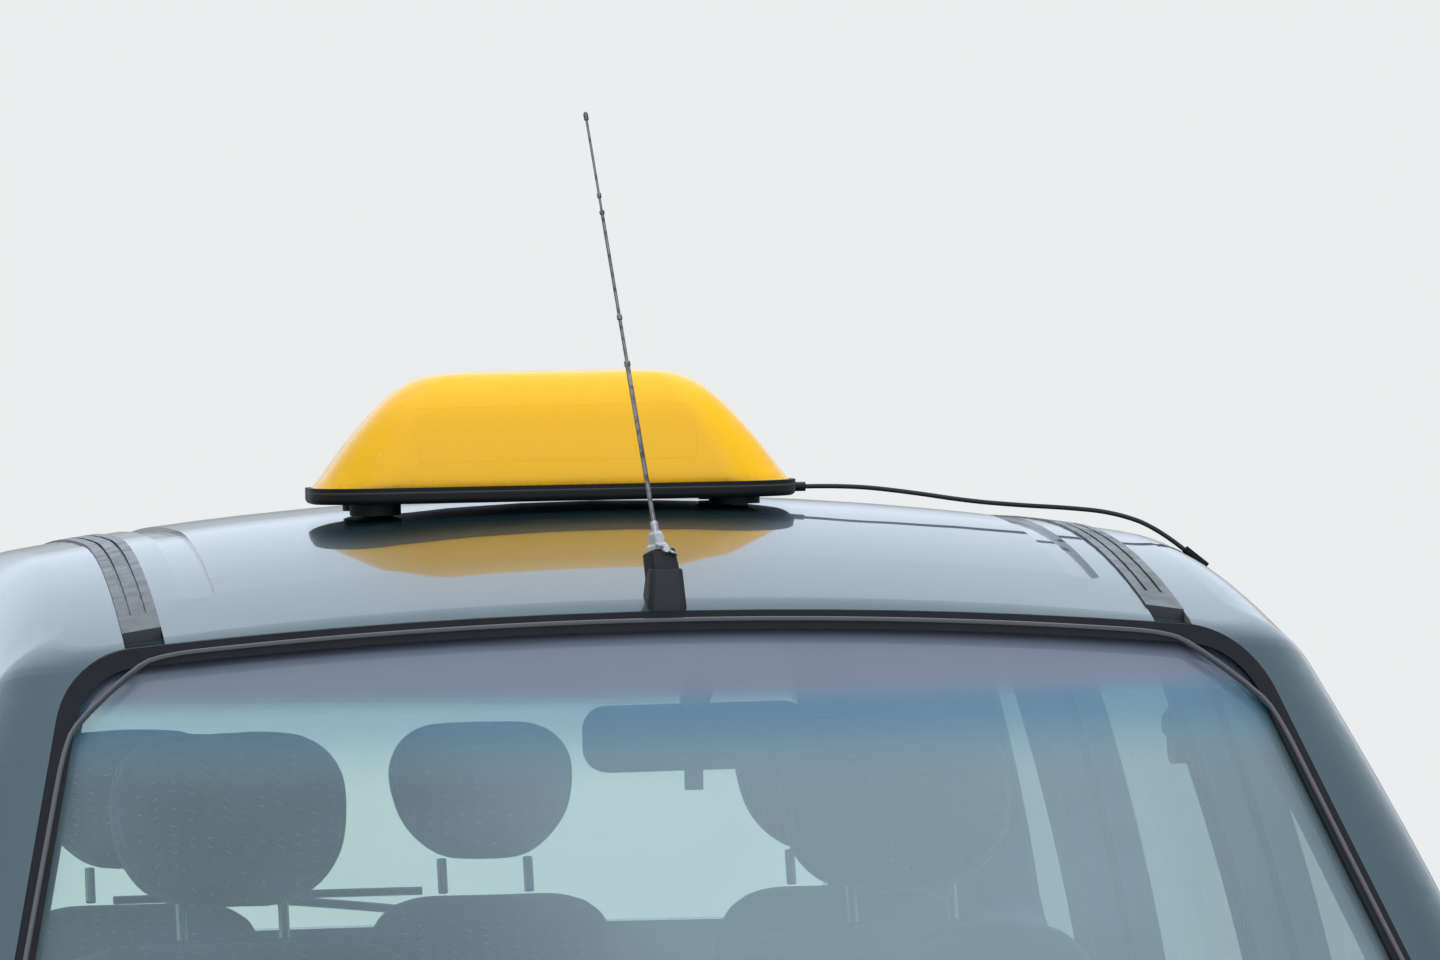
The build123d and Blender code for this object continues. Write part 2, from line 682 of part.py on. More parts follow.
def make_tail_lamp():
    prism = front_prism(grown(outline(TAIL_LAMP), -FIT_GAP), TAIL_LAMP_FRONT_Y + FIT_GAP, HALF_LENGTH + 60)
    return (OUTER & prism) - UNDER_DOOR


def make_tailgate():
    """The whole tailgate, hinged on the roof's rear edge, with the rear window cut through."""
    slab = OUTER & front_prism(outline(TAILGATE), TAILGATE_TOP_Y, HALF_LENGTH + 60)
    window = front_prism(outline(TAIL_WINDOW), 1500, HALF_LENGTH + 60)
    hole = front_prism(grown(outline(TAIL_WINDOW), -16), 1500, HALF_LENGTH + 60)
    plate = box(-270, 270, 1990, HALF_LENGTH + 60, 780, 905) - lower_body(12)
    gate = slab - [UNDER_DOOR, glass_seat(window), hole, plate]
    return gate.solids().sort_by(SortBy.VOLUME)[-1]


def make_cowl():
    """The black panel under the windscreen, between the bonnet and the glass."""
    edge = COWL_HALF - 1
    band = box(-edge, edge, COWL_FRONT_Y, COWL_REAR_Y, TROUGH_Z + FIT_GAP, WINDSCREEN_FOOT_Z + COWL_LIP)
    core = (UNDER_PANEL + greenhouse(PANEL)) - box(-900, 900, COWL_FRONT_Y - 1, COWL_FRONT_Y + 10, 800, 1100)
    corner = box(COWL_LIP_HALF, COWL_HALF, COWL_FRONT_Y - 60, COWL_REAR_Y, WINDSCREEN_FOOT_Z, 1100)
    cowl = (OUTER & band) - [core, SCREEN_HOLE, SCREEN_ZONE, corner, mirrored(corner)]
    return cowl.solids().sort_by(SortBy.VOLUME)[-1]


def make_bulkhead():
    """Trough, firewall, footwell shelf and toe board, one bent sheet right across."""
    toe_y = PILLAR_FRONT_Y + SHEET
    line = (
        (BONNET_REAR_Y + PANEL_GAP, TROUGH_Z),
        (FIREWALL_Y, TROUGH_Z),
        (FIREWALL_Y, SHELF_Z),
        (toe_y, SHELF_Z),
        (toe_y, FLOOR_Z - SHEET),
    )
    sheet = profile_plate(line, SHEET, 785)
    sheet -= [box(700, 900, -1400, -1000, 900, 1100), box(-900, -700, -1400, -1000, 900, 1100)]
    wide = box(-900, 900, PILLAR_FRONT_Y - 1, 0, 100, 1000)
    return sheet - (wide - cabin_room()) + bonnet_brackets()


def cabin_room():
    """The space inside the walls, a hair smaller."""
    return lower_body(WALL_LOWER + FIT_GAP, nose=PANEL, tail=TAIL_WALL + FIT_GAP, top=PANEL)


def make_floor():
    """The floor: flat under the feet, a riser for the rear seat, and the boot."""
    line = (
        (PILLAR_FRONT_Y + SHEET + FIT_GAP, FLOOR_Z),
        (SEAT_RISER_Y, FLOOR_Z),
        (SEAT_RISER_Y, SEAT_RISER_Z),
        (BOOT_RISER_Y, SEAT_RISER_Z),
        (BOOT_RISER_Y, BOOT_Z),
        (FLOOR_REAR_Y, BOOT_Z),
        (FLOOR_REAR_Y, BUMPER_TOP),
    )
    floor = profile_plate(line, SHEET, 900) & cabin_room()
    cut = arch_cylinder(REAR_AXLE_Y, LINER_RADIUS + FIT_GAP, REAR_LINER_INNER_X - 6)
    floor -= cut
    return floor - mirrored(cut)


REAR_LINER_INNER_X = 560
LINER_REAR_FOOT = 35
REAR_SPRING = (490, 1190)


def make_liner(axle_y, inner_x):
    """One wheel-arch liner: a half tube, closed at the inner end on the rear axle."""
    outer_x = HALF_WIDTH - ARCH_LIP - FIT_GAP
    tube = arch_cylinder(axle_y, LINER_RADIUS - FIT_GAP, inner_x, outer_x)
    hollow_x = inner_x + (LINER_THICKNESS if axle_y > 0 else -1)
    foot_z = TYRE_RADIUS + (LINER_REAR_FOOT if axle_y > 0 else -90)
    tube -= arch_cylinder(axle_y, LINER_RADIUS - FIT_GAP - LINER_THICKNESS, hollow_x, outer_x + 1)
    if axle_y < 0:
        tube -= cylinder_between(kingpin_point(0.5), kingpin_point(1.2), STRUT_HOLE_RADIUS)
    return tube & box(0, 900, axle_y - 400, axle_y + 400, foot_z, 800)


# Wheels and axles
HUB_RADIUS = 30
RUNNING_GAP = 0.3
HUB_FACE = 34
SPOKES = 7
BOLT_CIRCLE = 54
BRAKE_RADIUS = 140
KINGPIN_LOW = (686, FRONT_AXLE_Y, 190)
KINGPIN_HIGH = (530, FRONT_AXLE_Y, 850)
KINGPIN_RADIUS = 9
STEERING_LOCK = 35
STRUT_HOLE_RADIUS = 72
TOWER_TOP_Z = 800
ENGINE = (-300, 260, -1830, -1330, 330, 730)
ENGINE_MOUNT = (-1620, -1560, 436, 484)


def make_tyre(axle_y):
    """A tyre with rounded shoulders and three grooves, closed on its beads."""
    half, crown = TYRE_WIDTH / 2, TYRE_RADIUS
    bead, bead_half = RIM_RADIUS, RIM_WIDTH / 2 - 14
    face = make_face(
        [
            Polyline((-bead_half - 4, bead + 14), (-bead_half, bead), (bead_half, bead), (bead_half + 4, bead + 14)),
            ThreePointArc((bead_half + 4, bead + 14), (half, (bead + crown) / 2), (half - 12, crown - 14)),
            ThreePointArc((half - 12, crown - 14), (half - 20, crown - 5), (half - 34, crown - 1.5)),
            ThreePointArc((half - 34, crown - 1.5), (0, crown), (-half + 34, crown - 1.5)),
            ThreePointArc((-half + 34, crown - 1.5), (-half + 20, crown - 5), (-half + 12, crown - 14)),
            ThreePointArc((-half + 12, crown - 14), (-half, (bead + crown) / 2), (-bead_half - 4, bead + 14)),
        ]
    )
    face -= [Pos(x, crown) * Rectangle(9, 14) for x in (-30, 0, 30)]
    return Pos(HALF_TRACK, axle_y, TYRE_RADIUS) * revolve(face, axis=Axis.X)


def make_wheel(axle_y):
    """A pressed rim with its well, a dished disc with seven windows, and the brake disc behind it."""
    half = RIM_WIDTH / 2
    seat = RIM_RADIUS - FIT_GAP
    well = 158
    barrel = make_face(
        Polyline(
            (-half, seat + 12),
            (-half + 9, seat + 12),
            (-half + 12, seat),
            (-half + 30, seat),
            (-half + 44, well),
            (half - 44, well),
            (half - 30, seat),
            (half - 12, seat),
            (half - 9, seat + 12),
            (half, seat + 12),
            (half, seat + 5),
            (half - 14, seat - 7),
            (half - 32, seat - 7),
            (half - 46, well - 7),
            (-half + 46, well - 7),
            (-half + 32, seat - 7),
            (-half + 14, seat - 7),
            (-half, seat + 5),
            close=True,
        )
    )
    disc = make_face(
        [
            Polyline(
                (HUB_FACE - 10, HUB_RADIUS + RUNNING_GAP), (HUB_FACE, HUB_RADIUS + RUNNING_GAP), (HUB_FACE, 76)
            ),
            ThreePointArc((HUB_FACE, 76), (HUB_FACE + 16, 118), (HUB_FACE + 2, well - 1)),
            Line((HUB_FACE + 2, well - 1), (HUB_FACE - 12, well - 1)),
            ThreePointArc((HUB_FACE - 12, well - 1), (HUB_FACE + 4, 118), (HUB_FACE - 10, 80)),
            Line((HUB_FACE - 10, 80), (HUB_FACE - 10, HUB_RADIUS + RUNNING_GAP)),
        ]
    )
    brake = make_face(
        Polyline(
            (HUB_FACE - 10, HUB_RADIUS + RUNNING_GAP),
            (HUB_FACE - 10, 74),
            (-2, 74),
            (-2, BRAKE_RADIUS),
            (-16, BRAKE_RADIUS),
            (-16, 66),
            (HUB_FACE - 18, 66),
            (HUB_FACE - 18, HUB_RADIUS + RUNNING_GAP),
            close=True,
        )
    )
    wheel = revolve(barrel, axis=Axis.X) + revolve(disc, axis=Axis.X) + revolve(brake, axis=Axis.X)
    window = SlotOverall(58, 26).face()
    cuts = [
        extrude(Plane.YZ * (Rot(0, 0, 360 / SPOKES * i) * (Pos(114, 0) * window)), 100) for i in range(SPOKES)
    ]
    bolts = [
        Pos(HUB_FACE, 0, 0) * extrude(Plane.YZ * (place * RegularPolygon(9.5, 6)), 9)
        for place in PolarLocations(BOLT_CIRCLE, 5)
    ]
    return Pos(HALF_TRACK, axle_y, TYRE_RADIUS) * (wheel - cuts + bolts)


def make_spindle(axle_y, inner_x):
    """The stub that carries a wheel, with its flange behind the hub and its cap in front."""
    x0, face_x = inner_x, HALF_TRACK + HUB_FACE
    stub = cylinder_between((x0, axle_y, TYRE_RADIUS), (face_x + 8, axle_y, TYRE_RADIUS), HUB_RADIUS)
    cap = cylinder_between(
        (face_x + FIT_GAP, axle_y, TYRE_RADIUS), (face_x + 16, axle_y, TYRE_RADIUS), HUB_RADIUS + 4
    )
    flange = cylinder_between(
        (face_x - 26, axle_y, TYRE_RADIUS), (face_x - 18 - FIT_GAP, axle_y, TYRE_RADIUS), HUB_RADIUS + 10
    )
    return stub + cap + flange


def kingpin_point(share):
    low, high = Vector(*KINGPIN_LOW), Vector(*KINGPIN_HIGH)
    return tuple(low + (high - low) * share)


def make_knuckle():
    """Hub carrier and strut on one steering axis: spindle, lower eye, strut tube, gaiter and top rod."""
    spindle = make_spindle(FRONT_AXLE_Y, KINGPIN_LOW[0] - 60)
    carrier = box(636, 676, FRONT_AXLE_Y - 42, FRONT_AXLE_Y + 42, 226, 430)
    lower = cylinder_between(kingpin_point(0), kingpin_point(0.075), KINGPIN_RADIUS + 11)
    neck = box(640, 700, FRONT_AXLE_Y - 16, FRONT_AXLE_Y + 16, 206, 250)
    tube = cylinder_between(kingpin_point(0.26), kingpin_point(0.72), 20)
    seat = cylinder_between(kingpin_point(0.69), kingpin_point(0.7), 50)
    rod = cylinder_between(kingpin_point(0.70), kingpin_point(0.99), KINGPIN_RADIUS + 2)
    arm = cylinder_between((655, FRONT_AXLE_Y + 30, 255), (626, FRONT_AXLE_Y + 125, 262), 11)
    knuckle = spindle + carrier + neck + lower + tube + seat + rod + arm
    low_cut = cylinder_between(kingpin_point(-0.1), kingpin_point(0.075), KINGPIN_RADIUS + RUNNING_GAP)
    return knuckle - low_cut


def make_spring(place, low, high, radius, wire, turns):
    """An upright coil spring between two heights of its wire's centre line."""
    path = Helix(pitch=(high - low) / turns, height=high - low, radius=radius)
    section = Plane(path @ 0, z_dir=path % 0) * Circle(wire)
    return Pos(place[0], place[1], low) * sweep(section, path=path, is_frenet=True)


def make_front_structure():
    """Side rails, strut towers, radiator frame and cross member, welded together ahead of the cabin."""
    rail = box(380, 430, -1950, FIREWALL_Y - SHEET - FIT_GAP, 420, 500)
    leg = box(380, 430, -1250, FIREWALL_Y - SHEET - FIT_GAP, 500, TROUGH_Z - SHEET - FIT_GAP)
    tower_rear = FIREWALL_Y - SHEET - FIT_GAP
    tower = box(430, 690, FRONT_AXLE_Y - 92, tower_rear, 680, TOWER_TOP_Z)
    hollow = box(452, 674, FRONT_AXLE_Y - 76, tower_rear - 8, 600, TOWER_TOP_Z - 14)
    web = box(400, LINER_INNER_X - 2, FRONT_AXLE_Y - 92, tower_rear, 440, TOWER_TOP_Z)
    rod_hole = cylinder_between(kingpin_point(0.6), kingpin_point(1.2), KINGPIN_RADIUS + 2 + RUNNING_GAP)
    half = rail + leg + (tower - hollow) + web - rod_hole
    frame = box(-430, 430, -1950, -1925, 250, 690) - box(-350, 350, -2000, -1900, 300, 640)
    cross = box(-430, 430, FRONT_AXLE_Y - 60, FRONT_AXLE_Y + 60, 230, 290)
    posts = [box(x - 24, x + 24, FRONT_AXLE_Y - 40, FRONT_AXLE_Y + 40, 280, 430) for x in (-405, 405)]
    mounts = [
        box(ENGINE[1] + FIT_GAP, 381, *ENGINE_MOUNT),
        box(-381, ENGINE[0] - FIT_GAP, *ENGINE_MOUNT),
    ]
    return half + mirrored(half) + frame + cross + posts + mounts


def make_lower_arm():
    """A wishbone from the cross member to the pin under the knuckle."""
    face = make_face(Polyline((436, -1370), (436, -1200), (660, -1268), (694, -1268), (694, -1302), (660, -1302), close=True))
    blade = plan_prism(face, 166, 178)
    hinges = [cylinder_between((430.3, y, 168), (470, y, 168), 16) for y in (-1352, -1218)]
    pin = cylinder_between(kingpin_point(-0.03), kingpin_point(0.07), KINGPIN_RADIUS)
    return blade + hinges + pin


def make_rear_axle():
    """A twist beam: cross tube, two trailing arms, stub axles, spring pans and damper eyes."""
    beam = cylinder_between((-610, 1080, 300), (610, 1080, 300), 32)
    half = cylinder_between((560, 905, 300), (612, 905, 300), 34)
    arm = extrude(
        Plane.XZ.offset(-905)
        * make_face(Polyline((572, 278), (604, 278), (604, 322), (572, 322), close=True)),
        -(REAR_AXLE_Y + 60 - 905),
    )
    plate = box(572, 640, REAR_AXLE_Y - 44, REAR_AXLE_Y + 44, 262, 338)
    bracket = box(560, 612, 874, 936, 300, SEAT_RISER_Z - SHEET - FIT_GAP)
    pan_x, pan_y = REAR_SPRING
    pan = Pos(pan_x, pan_y, 306) * Cylinder(66, 12)
    tie = box(pan_x, 580, pan_y - 18, pan_y + 18, 296, 312)
    spring = make_spring(REAR_SPRING, 316, BOOT_Z - SHEET - FIT_GAP - 7, 48, 6.5, 4)
    side = half + bracket + arm + plate + make_spindle(REAR_AXLE_Y, 630) + pan + tie + spring
    return beam + side + mirrored(side)


# Cabin
FRONT_SEAT_X = 370
FRONT_SEAT_HALF = 245
REAR_SEAT_X = 422
SEAT_LEAN = 20
FRONT_BACK_FOOT = (60, 560)
REAR_BACK_FOOT = (904, 449)
FRONT_BACK_HEIGHT = 632
REAR_BACK_HEIGHT = 734
HEADREST_GAP = 42
STEERING_X = 370
STEERING_HUB = (370, -505, 905)
STEERING_RAKE = 28
SHAFT_RADIUS = 13


def cushion(x, y0, y1, z0, z1, width, radius=40, tilt=4):
    """A seat cushion, its front edge a little higher than its back edge."""
    pad = Box(width, y1 - y0, z1 - z0)
    pad = fillet(pad.edges(), radius)
    return Pos(x, (y0 + y1) / 2, (z0 + z1) / 2) * Rot(-tilt, 0, 0) * pad


def leaned(foot, x):
    """A frame at a backrest's foot, whose own up direction leans back with the seat."""
    return Pos(x, foot[0], foot[1]) * Rot(-SEAT_LEAN, 0, 0)


def backrest(foot, x, width, shoulder, height, depth):
    """A backrest narrowing to its shoulders, rounded all over."""
    half = width / 2
    face = outline(
        ((-half, 0, 60), (half, 0, 60), (half, height * 0.62, 120), (shoulder, height, 90), (-shoulder, height, 90),
         (-half, height * 0.62, 120))
    )
    slab = extrude(Plane.XZ * face, -depth)
    return leaned(foot, x) * fillet(slab.edges(), 28)


def headrest(foot, x, width, height, depth, lift):
    """A headrest with rounded corners, standing on its posts above the backrest."""
    pad = extrude(Plane.XZ * RectangleRounded(width, height, height * 0.36), -depth)
    pad = fillet(pad.edges(), 26)
    return leaned(foot, x) * Pos(0, 8, lift + height / 2) * pad


def posts(foot, x, spread, low, high):
    """Two steel posts that carry a headrest."""
    return [
        leaned(foot, x) * Pos(side * spread / 2, 55, low) * extrude(Circle(6), high - low)
        for side in (1, -1)
    ]


def rear_bracket(x):
    """The folded foot that carries a rear backrest on the floor."""
    foot = leaned(REAR_BACK_FOOT, x) * box(-40, 40, 20, 80, -120, -FIT_GAP)
    return foot & box(x - 60, x + 60, 800, BOOT_RISER_Y - SHEET, SEAT_RISER_Z + FIT_GAP, 600)


def recliner(x, side):
    """The plate that joins a front seat's pan to its backrest on one side."""
    face = outline(((-80, 392, 6), (60, 392, 20), (150, 560, 20), (150, 640, 20), (105, 640, 20), (20, 470, 60)))
    inner = x + side * FRONT_SEAT_HALF if side > 0 else x - FRONT_SEAT_HALF - 7
    return extrude(Pos(inner + (FIT_GAP if side > 0 else -FIT_GAP), 0, 0) * (Plane.YZ * face), 7)


def seat_frame(x):
    """The rails bolted to the floor, the pressed pan under a front cushion and the recliner plates."""
    pan = box(x - FRONT_SEAT_HALF - 2, x + FRONT_SEAT_HALF + 2, -380, 20, 392, 408)
    legs = [box(x + side * 190 - 12, x + side * 190 + 12, -370, 10, 290, 400) for side in (1, -1)]
    rails = [
        box(x + side * 190 - 20, x + side * 190 + 20, -440, 90, FLOOR_Z + FIT_GAP, 294) for side in (1, -1)
    ]
    return pan + legs + rails + [recliner(x, 1), recliner(x, -1)]


def make_seats():
    """All cushions, backrests, headrests and the steel that carries them."""
    cushions, backs, rests, frames = [], [], [], []
    for x in (FRONT_SEAT_X, -FRONT_SEAT_X):
        cushions.append(cushion(x, -430, 45, 422, 546, 2 * FRONT_SEAT_HALF - 6))
        backs.append(backrest(FRONT_BACK_FOOT, x, 2 * FRONT_SEAT_HALF, 205, FRONT_BACK_HEIGHT, 110))
        lift = FRONT_BACK_HEIGHT + HEADREST_GAP
        rests.append(headrest(FRONT_BACK_FOOT, x, 268, 192, 96, lift))
        frames += posts(FRONT_BACK_FOOT, x, 112, FRONT_BACK_HEIGHT + FIT_GAP, lift - FIT_GAP)
        frames.append(seat_frame(x))
    bench = cushion(0, 500, REAR_BACK_FOOT[0] - 8, SEAT_RISER_Z + 6, SEAT_RISER_Z + 150, 1230)
    cushions.append(bench & box(-700, 700, 400, 1000, SEAT_RISER_Z + FIT_GAP, 700))
    for x in (-REAR_SEAT_X, 0, REAR_SEAT_X):
        back = backrest(REAR_BACK_FOOT, x, 404, 150, REAR_BACK_HEIGHT, 100)
        wheelhouse = arch_cylinder(REAR_AXLE_Y, LINER_RADIUS + 4, REAR_LINER_INNER_X - 6)
        backs.append(back - [wheelhouse, mirrored(wheelhouse)])
        lift = REAR_BACK_HEIGHT + HEADREST_GAP
        rests.append(headrest(REAR_BACK_FOOT, x, 230, 168, 84, lift))
        frames += posts(REAR_BACK_FOOT, x, 104, REAR_BACK_HEIGHT + FIT_GAP, lift - FIT_GAP)
        frames.append(rear_bracket(x))
    return cushions, backs, rests, frames


def make_dashboard():
    """The dashboard on its shelf, with the cowl over the dials, vents and the glove box line."""
    rear, front = -760, FIREWALL_Y + FIT_GAP
    face = outline(
        ((front, SHELF_Z + FIT_GAP, 5), (rear + 30, SHELF_Z + FIT_GAP, 20), (rear, 770, 40), (rear - 40, 900, 50),
         (-900, 950, 80), (front, 925, 5))
    )
    top = extrude(Pos(-700, 0, 0) * (Plane.YZ * face), 1400)
    hood = fillet(Box(330, 210, 90).edges().filter_by(Axis.Y), 40)
    top += Pos(STEERING_X, -850, 925) * hood
    top -= [Pos(x, rear + 2, 840) * Box(120, 70, 55) for x in (-640, -75, 75)]
    top -= Pos(STEERING_X, -745, 932) * Box(270, 60, 50)
    console = box(-95, 95, -800, rear + 25, 500, SHELF_Z + 40)
    return top + console


def steering_frame():
    """A frame at the steering wheel's hub, its own up direction along the column towards the driver."""
    return Pos(*STEERING_HUB) * Rot(-(90 - STEERING_RAKE), 0, 0)


def make_steering_wheel():
    rim = Torus(183, 14)
    hub = Pos(0, 0, -26) * Cylinder(62, 44)
    hub = fillet(hub.edges(), 12)
    spokes = [
        Rot(0, 0, angle) * Pos(112, 0, -14) * Box(142, 34, 16) for angle in (0, 180, 270)
    ]
    shaft = Pos(0, 0, -110) * Cylinder(SHAFT_RADIUS, 150)
    return steering_frame() * (rim + hub + spokes + shaft)


def make_steering_column():
    """The shroud round the steering shaft, from the dashboard up to the wheel."""
    sleeve = Pos(0, 0, -172) * (Cylinder(48, 220) - Cylinder(SHAFT_RADIUS + RUNNING_GAP, 230))
    stalk = Pos(0, 0, -84) * Rot(0, 90, 0) * Cylinder(6, 260)
    stalk -= Pos(0, 0, -84) * Cylinder(40, 60)
    return steering_frame() * (sleeve + stalk)


def make_interior_mirror():
    """The mirror on its stem at the head of the windscreen, with its dipping tab."""
    head = fillet(extrude(Plane.XZ * RectangleRounded(228, 66, 24), 32).edges(), 8)
    x, y, z = INTERIOR_MIRROR
    stem = cylinder_between((x - 6, y - 4, z), (x - 6, y - 66, z + 44), 8)
    foot = cylinder_between((x - 6, y - 62, z + 40), (x - 6, y - 104, z + 58), 15) & UNDER_GLASS
    tab = Pos(x, y + 2, z - 42) * Box(18, 8, 22)
    return Pos(x, y + 16, z) * Rot(0, 0, MIRROR_TURN) * head + stem + foot + tab


INTERIOR_MIRROR = (25, -560, 1391)
MIRROR_TURN = 8


# Roof equipment
SIGN_X = -50
SIGN_Y = 0
SIGN_LENGTH = 516
SIGN_WIDTH = 190
SIGN_BASE_HEIGHT = 17
SIGN_LENS_HEIGHT = 119
SIGN_LIFT = 2
SIGN_WALL = 3
SIGN_RIM = 6
SIGN_ROUNDNESS = 0.8
MAGNET_RADIUS = 27
MAGNETS = ((-190, -42), (-190, 42), (190, -42), (190, 42))
SIGN_Z = ROOF_TOP + SIGN_LIFT


# The lens above its foot as (depth below the crown, in from each end, in from each side)
SIGN_SHOULDERS = (
    (79, 31, 9),
    (46, 59, 20),
    (20, 87, 35),
    (8, 108, 48),
    (2, 133, 62),
    (0, 161, 75),
)


def sign_dome(inset):
    """The lens form: a boat-ended foot drawn in through round shoulders to a narrow flat crown."""
    sections = []
    for depth, from_end, from_side in ((SIGN_LENS_HEIGHT, 0, 0),) + SIGN_SHOULDERS:
        half_length = SIGN_LENGTH / 2 - SIGN_RIM - from_end - inset
        half_width = SIGN_WIDTH / 2 - SIGN_RIM - from_side - inset
        height = max(SIGN_LENS_HEIGHT - depth - inset, 0)
        section = RectangleRounded(2 * half_length, 2 * half_width, SIGN_ROUNDNESS * half_width)
        sections.append(Pos(0, 0, height) * section)
    return loft(sections)


def make_sign_lens():
    z = SIGN_Z + SIGN_BASE_HEIGHT
    return Pos(SIGN_X, SIGN_Y, z) * (sign_dome(0) - sign_dome(SIGN_WALL))


def make_sign_base():
    """The black tray with a rim round the lens, its cable gland, and four magnets on the roof."""
    tray = extrude(RectangleRounded(SIGN_LENGTH, SIGN_WIDTH, 74), SIGN_BASE_HEIGHT)
    tray = fillet(tray.faces().sort_by(Axis.Z)[0].edges(), 6)
    base = Pos(SIGN_X, SIGN_Y, SIGN_Z) * tray
    for mx, my in MAGNETS:
        x, y = SIGN_X + mx, SIGN_Y + my
        reach = MAGNET_RADIUS
        top = max(roof_height(x + dx, y + dy) for dx in (-reach, 0, reach) for dy in (-reach, 0, reach))
        base += Pos(x, y, 0) * extrude(Pos(0, 0, top + FIT_GAP) * Circle(reach), SIGN_Z - top)
    gland = Plane(CABLE_EXIT, z_dir=(1, 0, 0)) * Circle(CABLE_DIAMETER)
    return base + extrude(gland, -20)


CABLE_DIAMETER = 5
CABLE_EXIT = (SIGN_X + SIGN_LENGTH / 2 + 14, SIGN_Y, SIGN_Z + 8)

# The sign's lead, from its gland over the left strip to the gap above the front door
CABLE_ROUTE = (
    CABLE_EXIT,
    (270, SIGN_Y, SIGN_Z + 8),
    (332, -8, 1617),
    (396, -22, 1606),
    (456, -12, 1600),
    (508, 8, 1596),
    (556, 14, 1590),
    (600, 6, 1574),
    (630, 2, 1549),
)
GROMMET_END = (646, 0, 1506)


def make_sign_cable():
    """The lead as straight runs joined by arcs as large as the runs allow."""
    points = [Vector(*p) for p in CABLE_ROUTE]
    radii = []
    for before, here, after in zip(points, points[1:], points[2:]):
        turn = radians((here - before).get_angle(after - here))
        shorter = min((here - before).length, (after - here).length)
        radii.append(0.45 * shorter / (sin(turn / 2) / cos(turn / 2)))
    print("cable radii", [round(r) for r in radii])
    path = FilletPolyline(*points, radius=radii)
    section = Plane(path @ 0, z_dir=path % 0) * Circle(CABLE_DIAMETER / 2)
    cable = sweep(section, path=path)
    print("cable length", round(path.length, 1), "volume ratio", cable.volume / section.area / path.length)
    return cable


ANTENNA_FOOT = (0, -552)
ANTENNA_LEAN_X = -9.5
ANTENNA_LEAN_Y = 10
MAST_SECTIONS = ((0, 232, 2.3), (228, 390, 1.8), (386, 500, 1.3))
FERRULES = ((60, 5.5, 22), (228, 3.2, 6), (272, 3.0, 5), (386, 2.8, 6), (404, 2.4, 5), (496, 2.6, 8))


def make_antenna():
    """A black foot on the roof, a steel collar, and a telescopic mast in three sections."""
    x, y = ANTENNA_FOOT
    z = max(roof_height(x + dx, y + dy) for dx in (-16, 16) for dy in (-24, 24)) + FIT_GAP
    foot = extrude(RectangleRounded(32, 48, 12), 20, taper=12)
    foot = Pos(x, y, z) * foot
    lean = Pos(x, y + 4, z + 14) * Rot(-ANTENNA_LEAN_Y, ANTENNA_LEAN_X, 0)
    joint = lean * extrude(Circle(9), 26)
    mast = [lean * Pos(0, 0, low) * extrude(Circle(r), high - low) for low, high, r in MAST_SECTIONS]
    rings = [lean * Pos(0, 0, low) * extrude(Circle(r), height) for low, r, height in FERRULES]
    return foot + joint + mast + rings


# Outside fittings
MIRROR_AT = (915, -735, 1040)


def make_door_mirror():
    """A door mirror: a rounded housing with a well for its glass, on an arm from the window's corner."""
    x, y, z = MIRROR_AT
    shell = extrude(Plane.XZ * RectangleRounded(190, 135, 45), 70, taper=14)
    shell = Pos(x, y, z) * fillet(shell.edges(), 10)
    well = Pos(x, y + 1, z) * extrude(Plane.XZ * RectangleRounded(168, 112, 36), 8)
    arm = box(790, 850, y - 48, y - 12, z - 52, z - 16)
    return shell - well + arm


# Wipers as (pivot, blade's near end, blade's far end), seen from the front as (x, z)
WIPERS = (
    ((-600, 1010), (-560, 1052), (-70, 1078)),
    ((10, 1016), (50, 1062), (560, 1056)),
)


def make_front_wipers():
    """Two wipers parked along the foot of the glass, the arms over the rubber, the blades on the pane."""
    blade_skin = greenhouse(-9)
    glass = greenhouse(GLASS_DEPTH - FIT_GAP)
    arm_skin = greenhouse(-20)
    wipers = []
    for pivot, near, far in WIPERS:
        blade = front_prism(bar_shape(near, far, 12), -1500, -300) & blade_skin
        middle = ((near[0] + far[0]) / 2, (near[1] + far[1]) / 2)
        arm = front_prism(bar_shape(pivot, middle, 16), -1500, -300) & arm_skin
        wipers.append((blade - glass) + (arm - blade_skin))
    return wipers


def bar_shape(a, b, width):
    """A round-ended bar between two points of the front view."""
    length = hypot(b[0] - a[0], b[1] - a[1])
    angle = degrees(atan2(b[1] - a[1], b[0] - a[0]))
    return Pos((a[0] + b[0]) / 2, (a[1] + b[1]) / 2) * Rot(0, 0, angle) * SlotOverall(length + width, width)


def make_engine():
    """Engine and gearbox as one plain block at their real place."""
    x0, x1, y0, y1, z0, z1 = ENGINE
    block = box(x0, x1, y0, y1, z0, z1)
    return fillet(block.edges(), 30)


def make_exhaust():
    """The exhaust pipe under the floor with its silencer, out beside the rear bumper."""
    route = (
        (-120, -1150, 165),
        (-120, -900, 150),
        (-60, -600, 145),
        (-60, 820, 145),
        (-330, 1100, 235),
        (-430, 1480, 260),
        (-430, 1700, 260),
    )
    path = FilletPolyline(*route, radius=60)
    pipe = sweep(Plane(path @ 0, z_dir=path % 0) * Circle(24), path=path)
    drum = extrude(Plane((-430, 1640, 260), x_dir=(1, 0, 0), z_dir=(0, 1, 0)) * Ellipse(110, 66), 240)
    tail = cylinder_between((-430, 1866, 250), (-430, 1908, 165), 22)
    return pipe + fillet(drum.edges(), 20) + tail


def make_jack_pads():
    """Four folded jacking points under the sills."""
    return [
        Pos(x, y, 0) * box(-26, 26, -60, 60, JACK_Z, SILL_BOTTOM + 12)
        for x in (JACK_X, -JACK_X)
        for y in JACK_YS
    ]


JACK_X = 752
JACK_YS = (-760, 820)
JACK_Z = 160


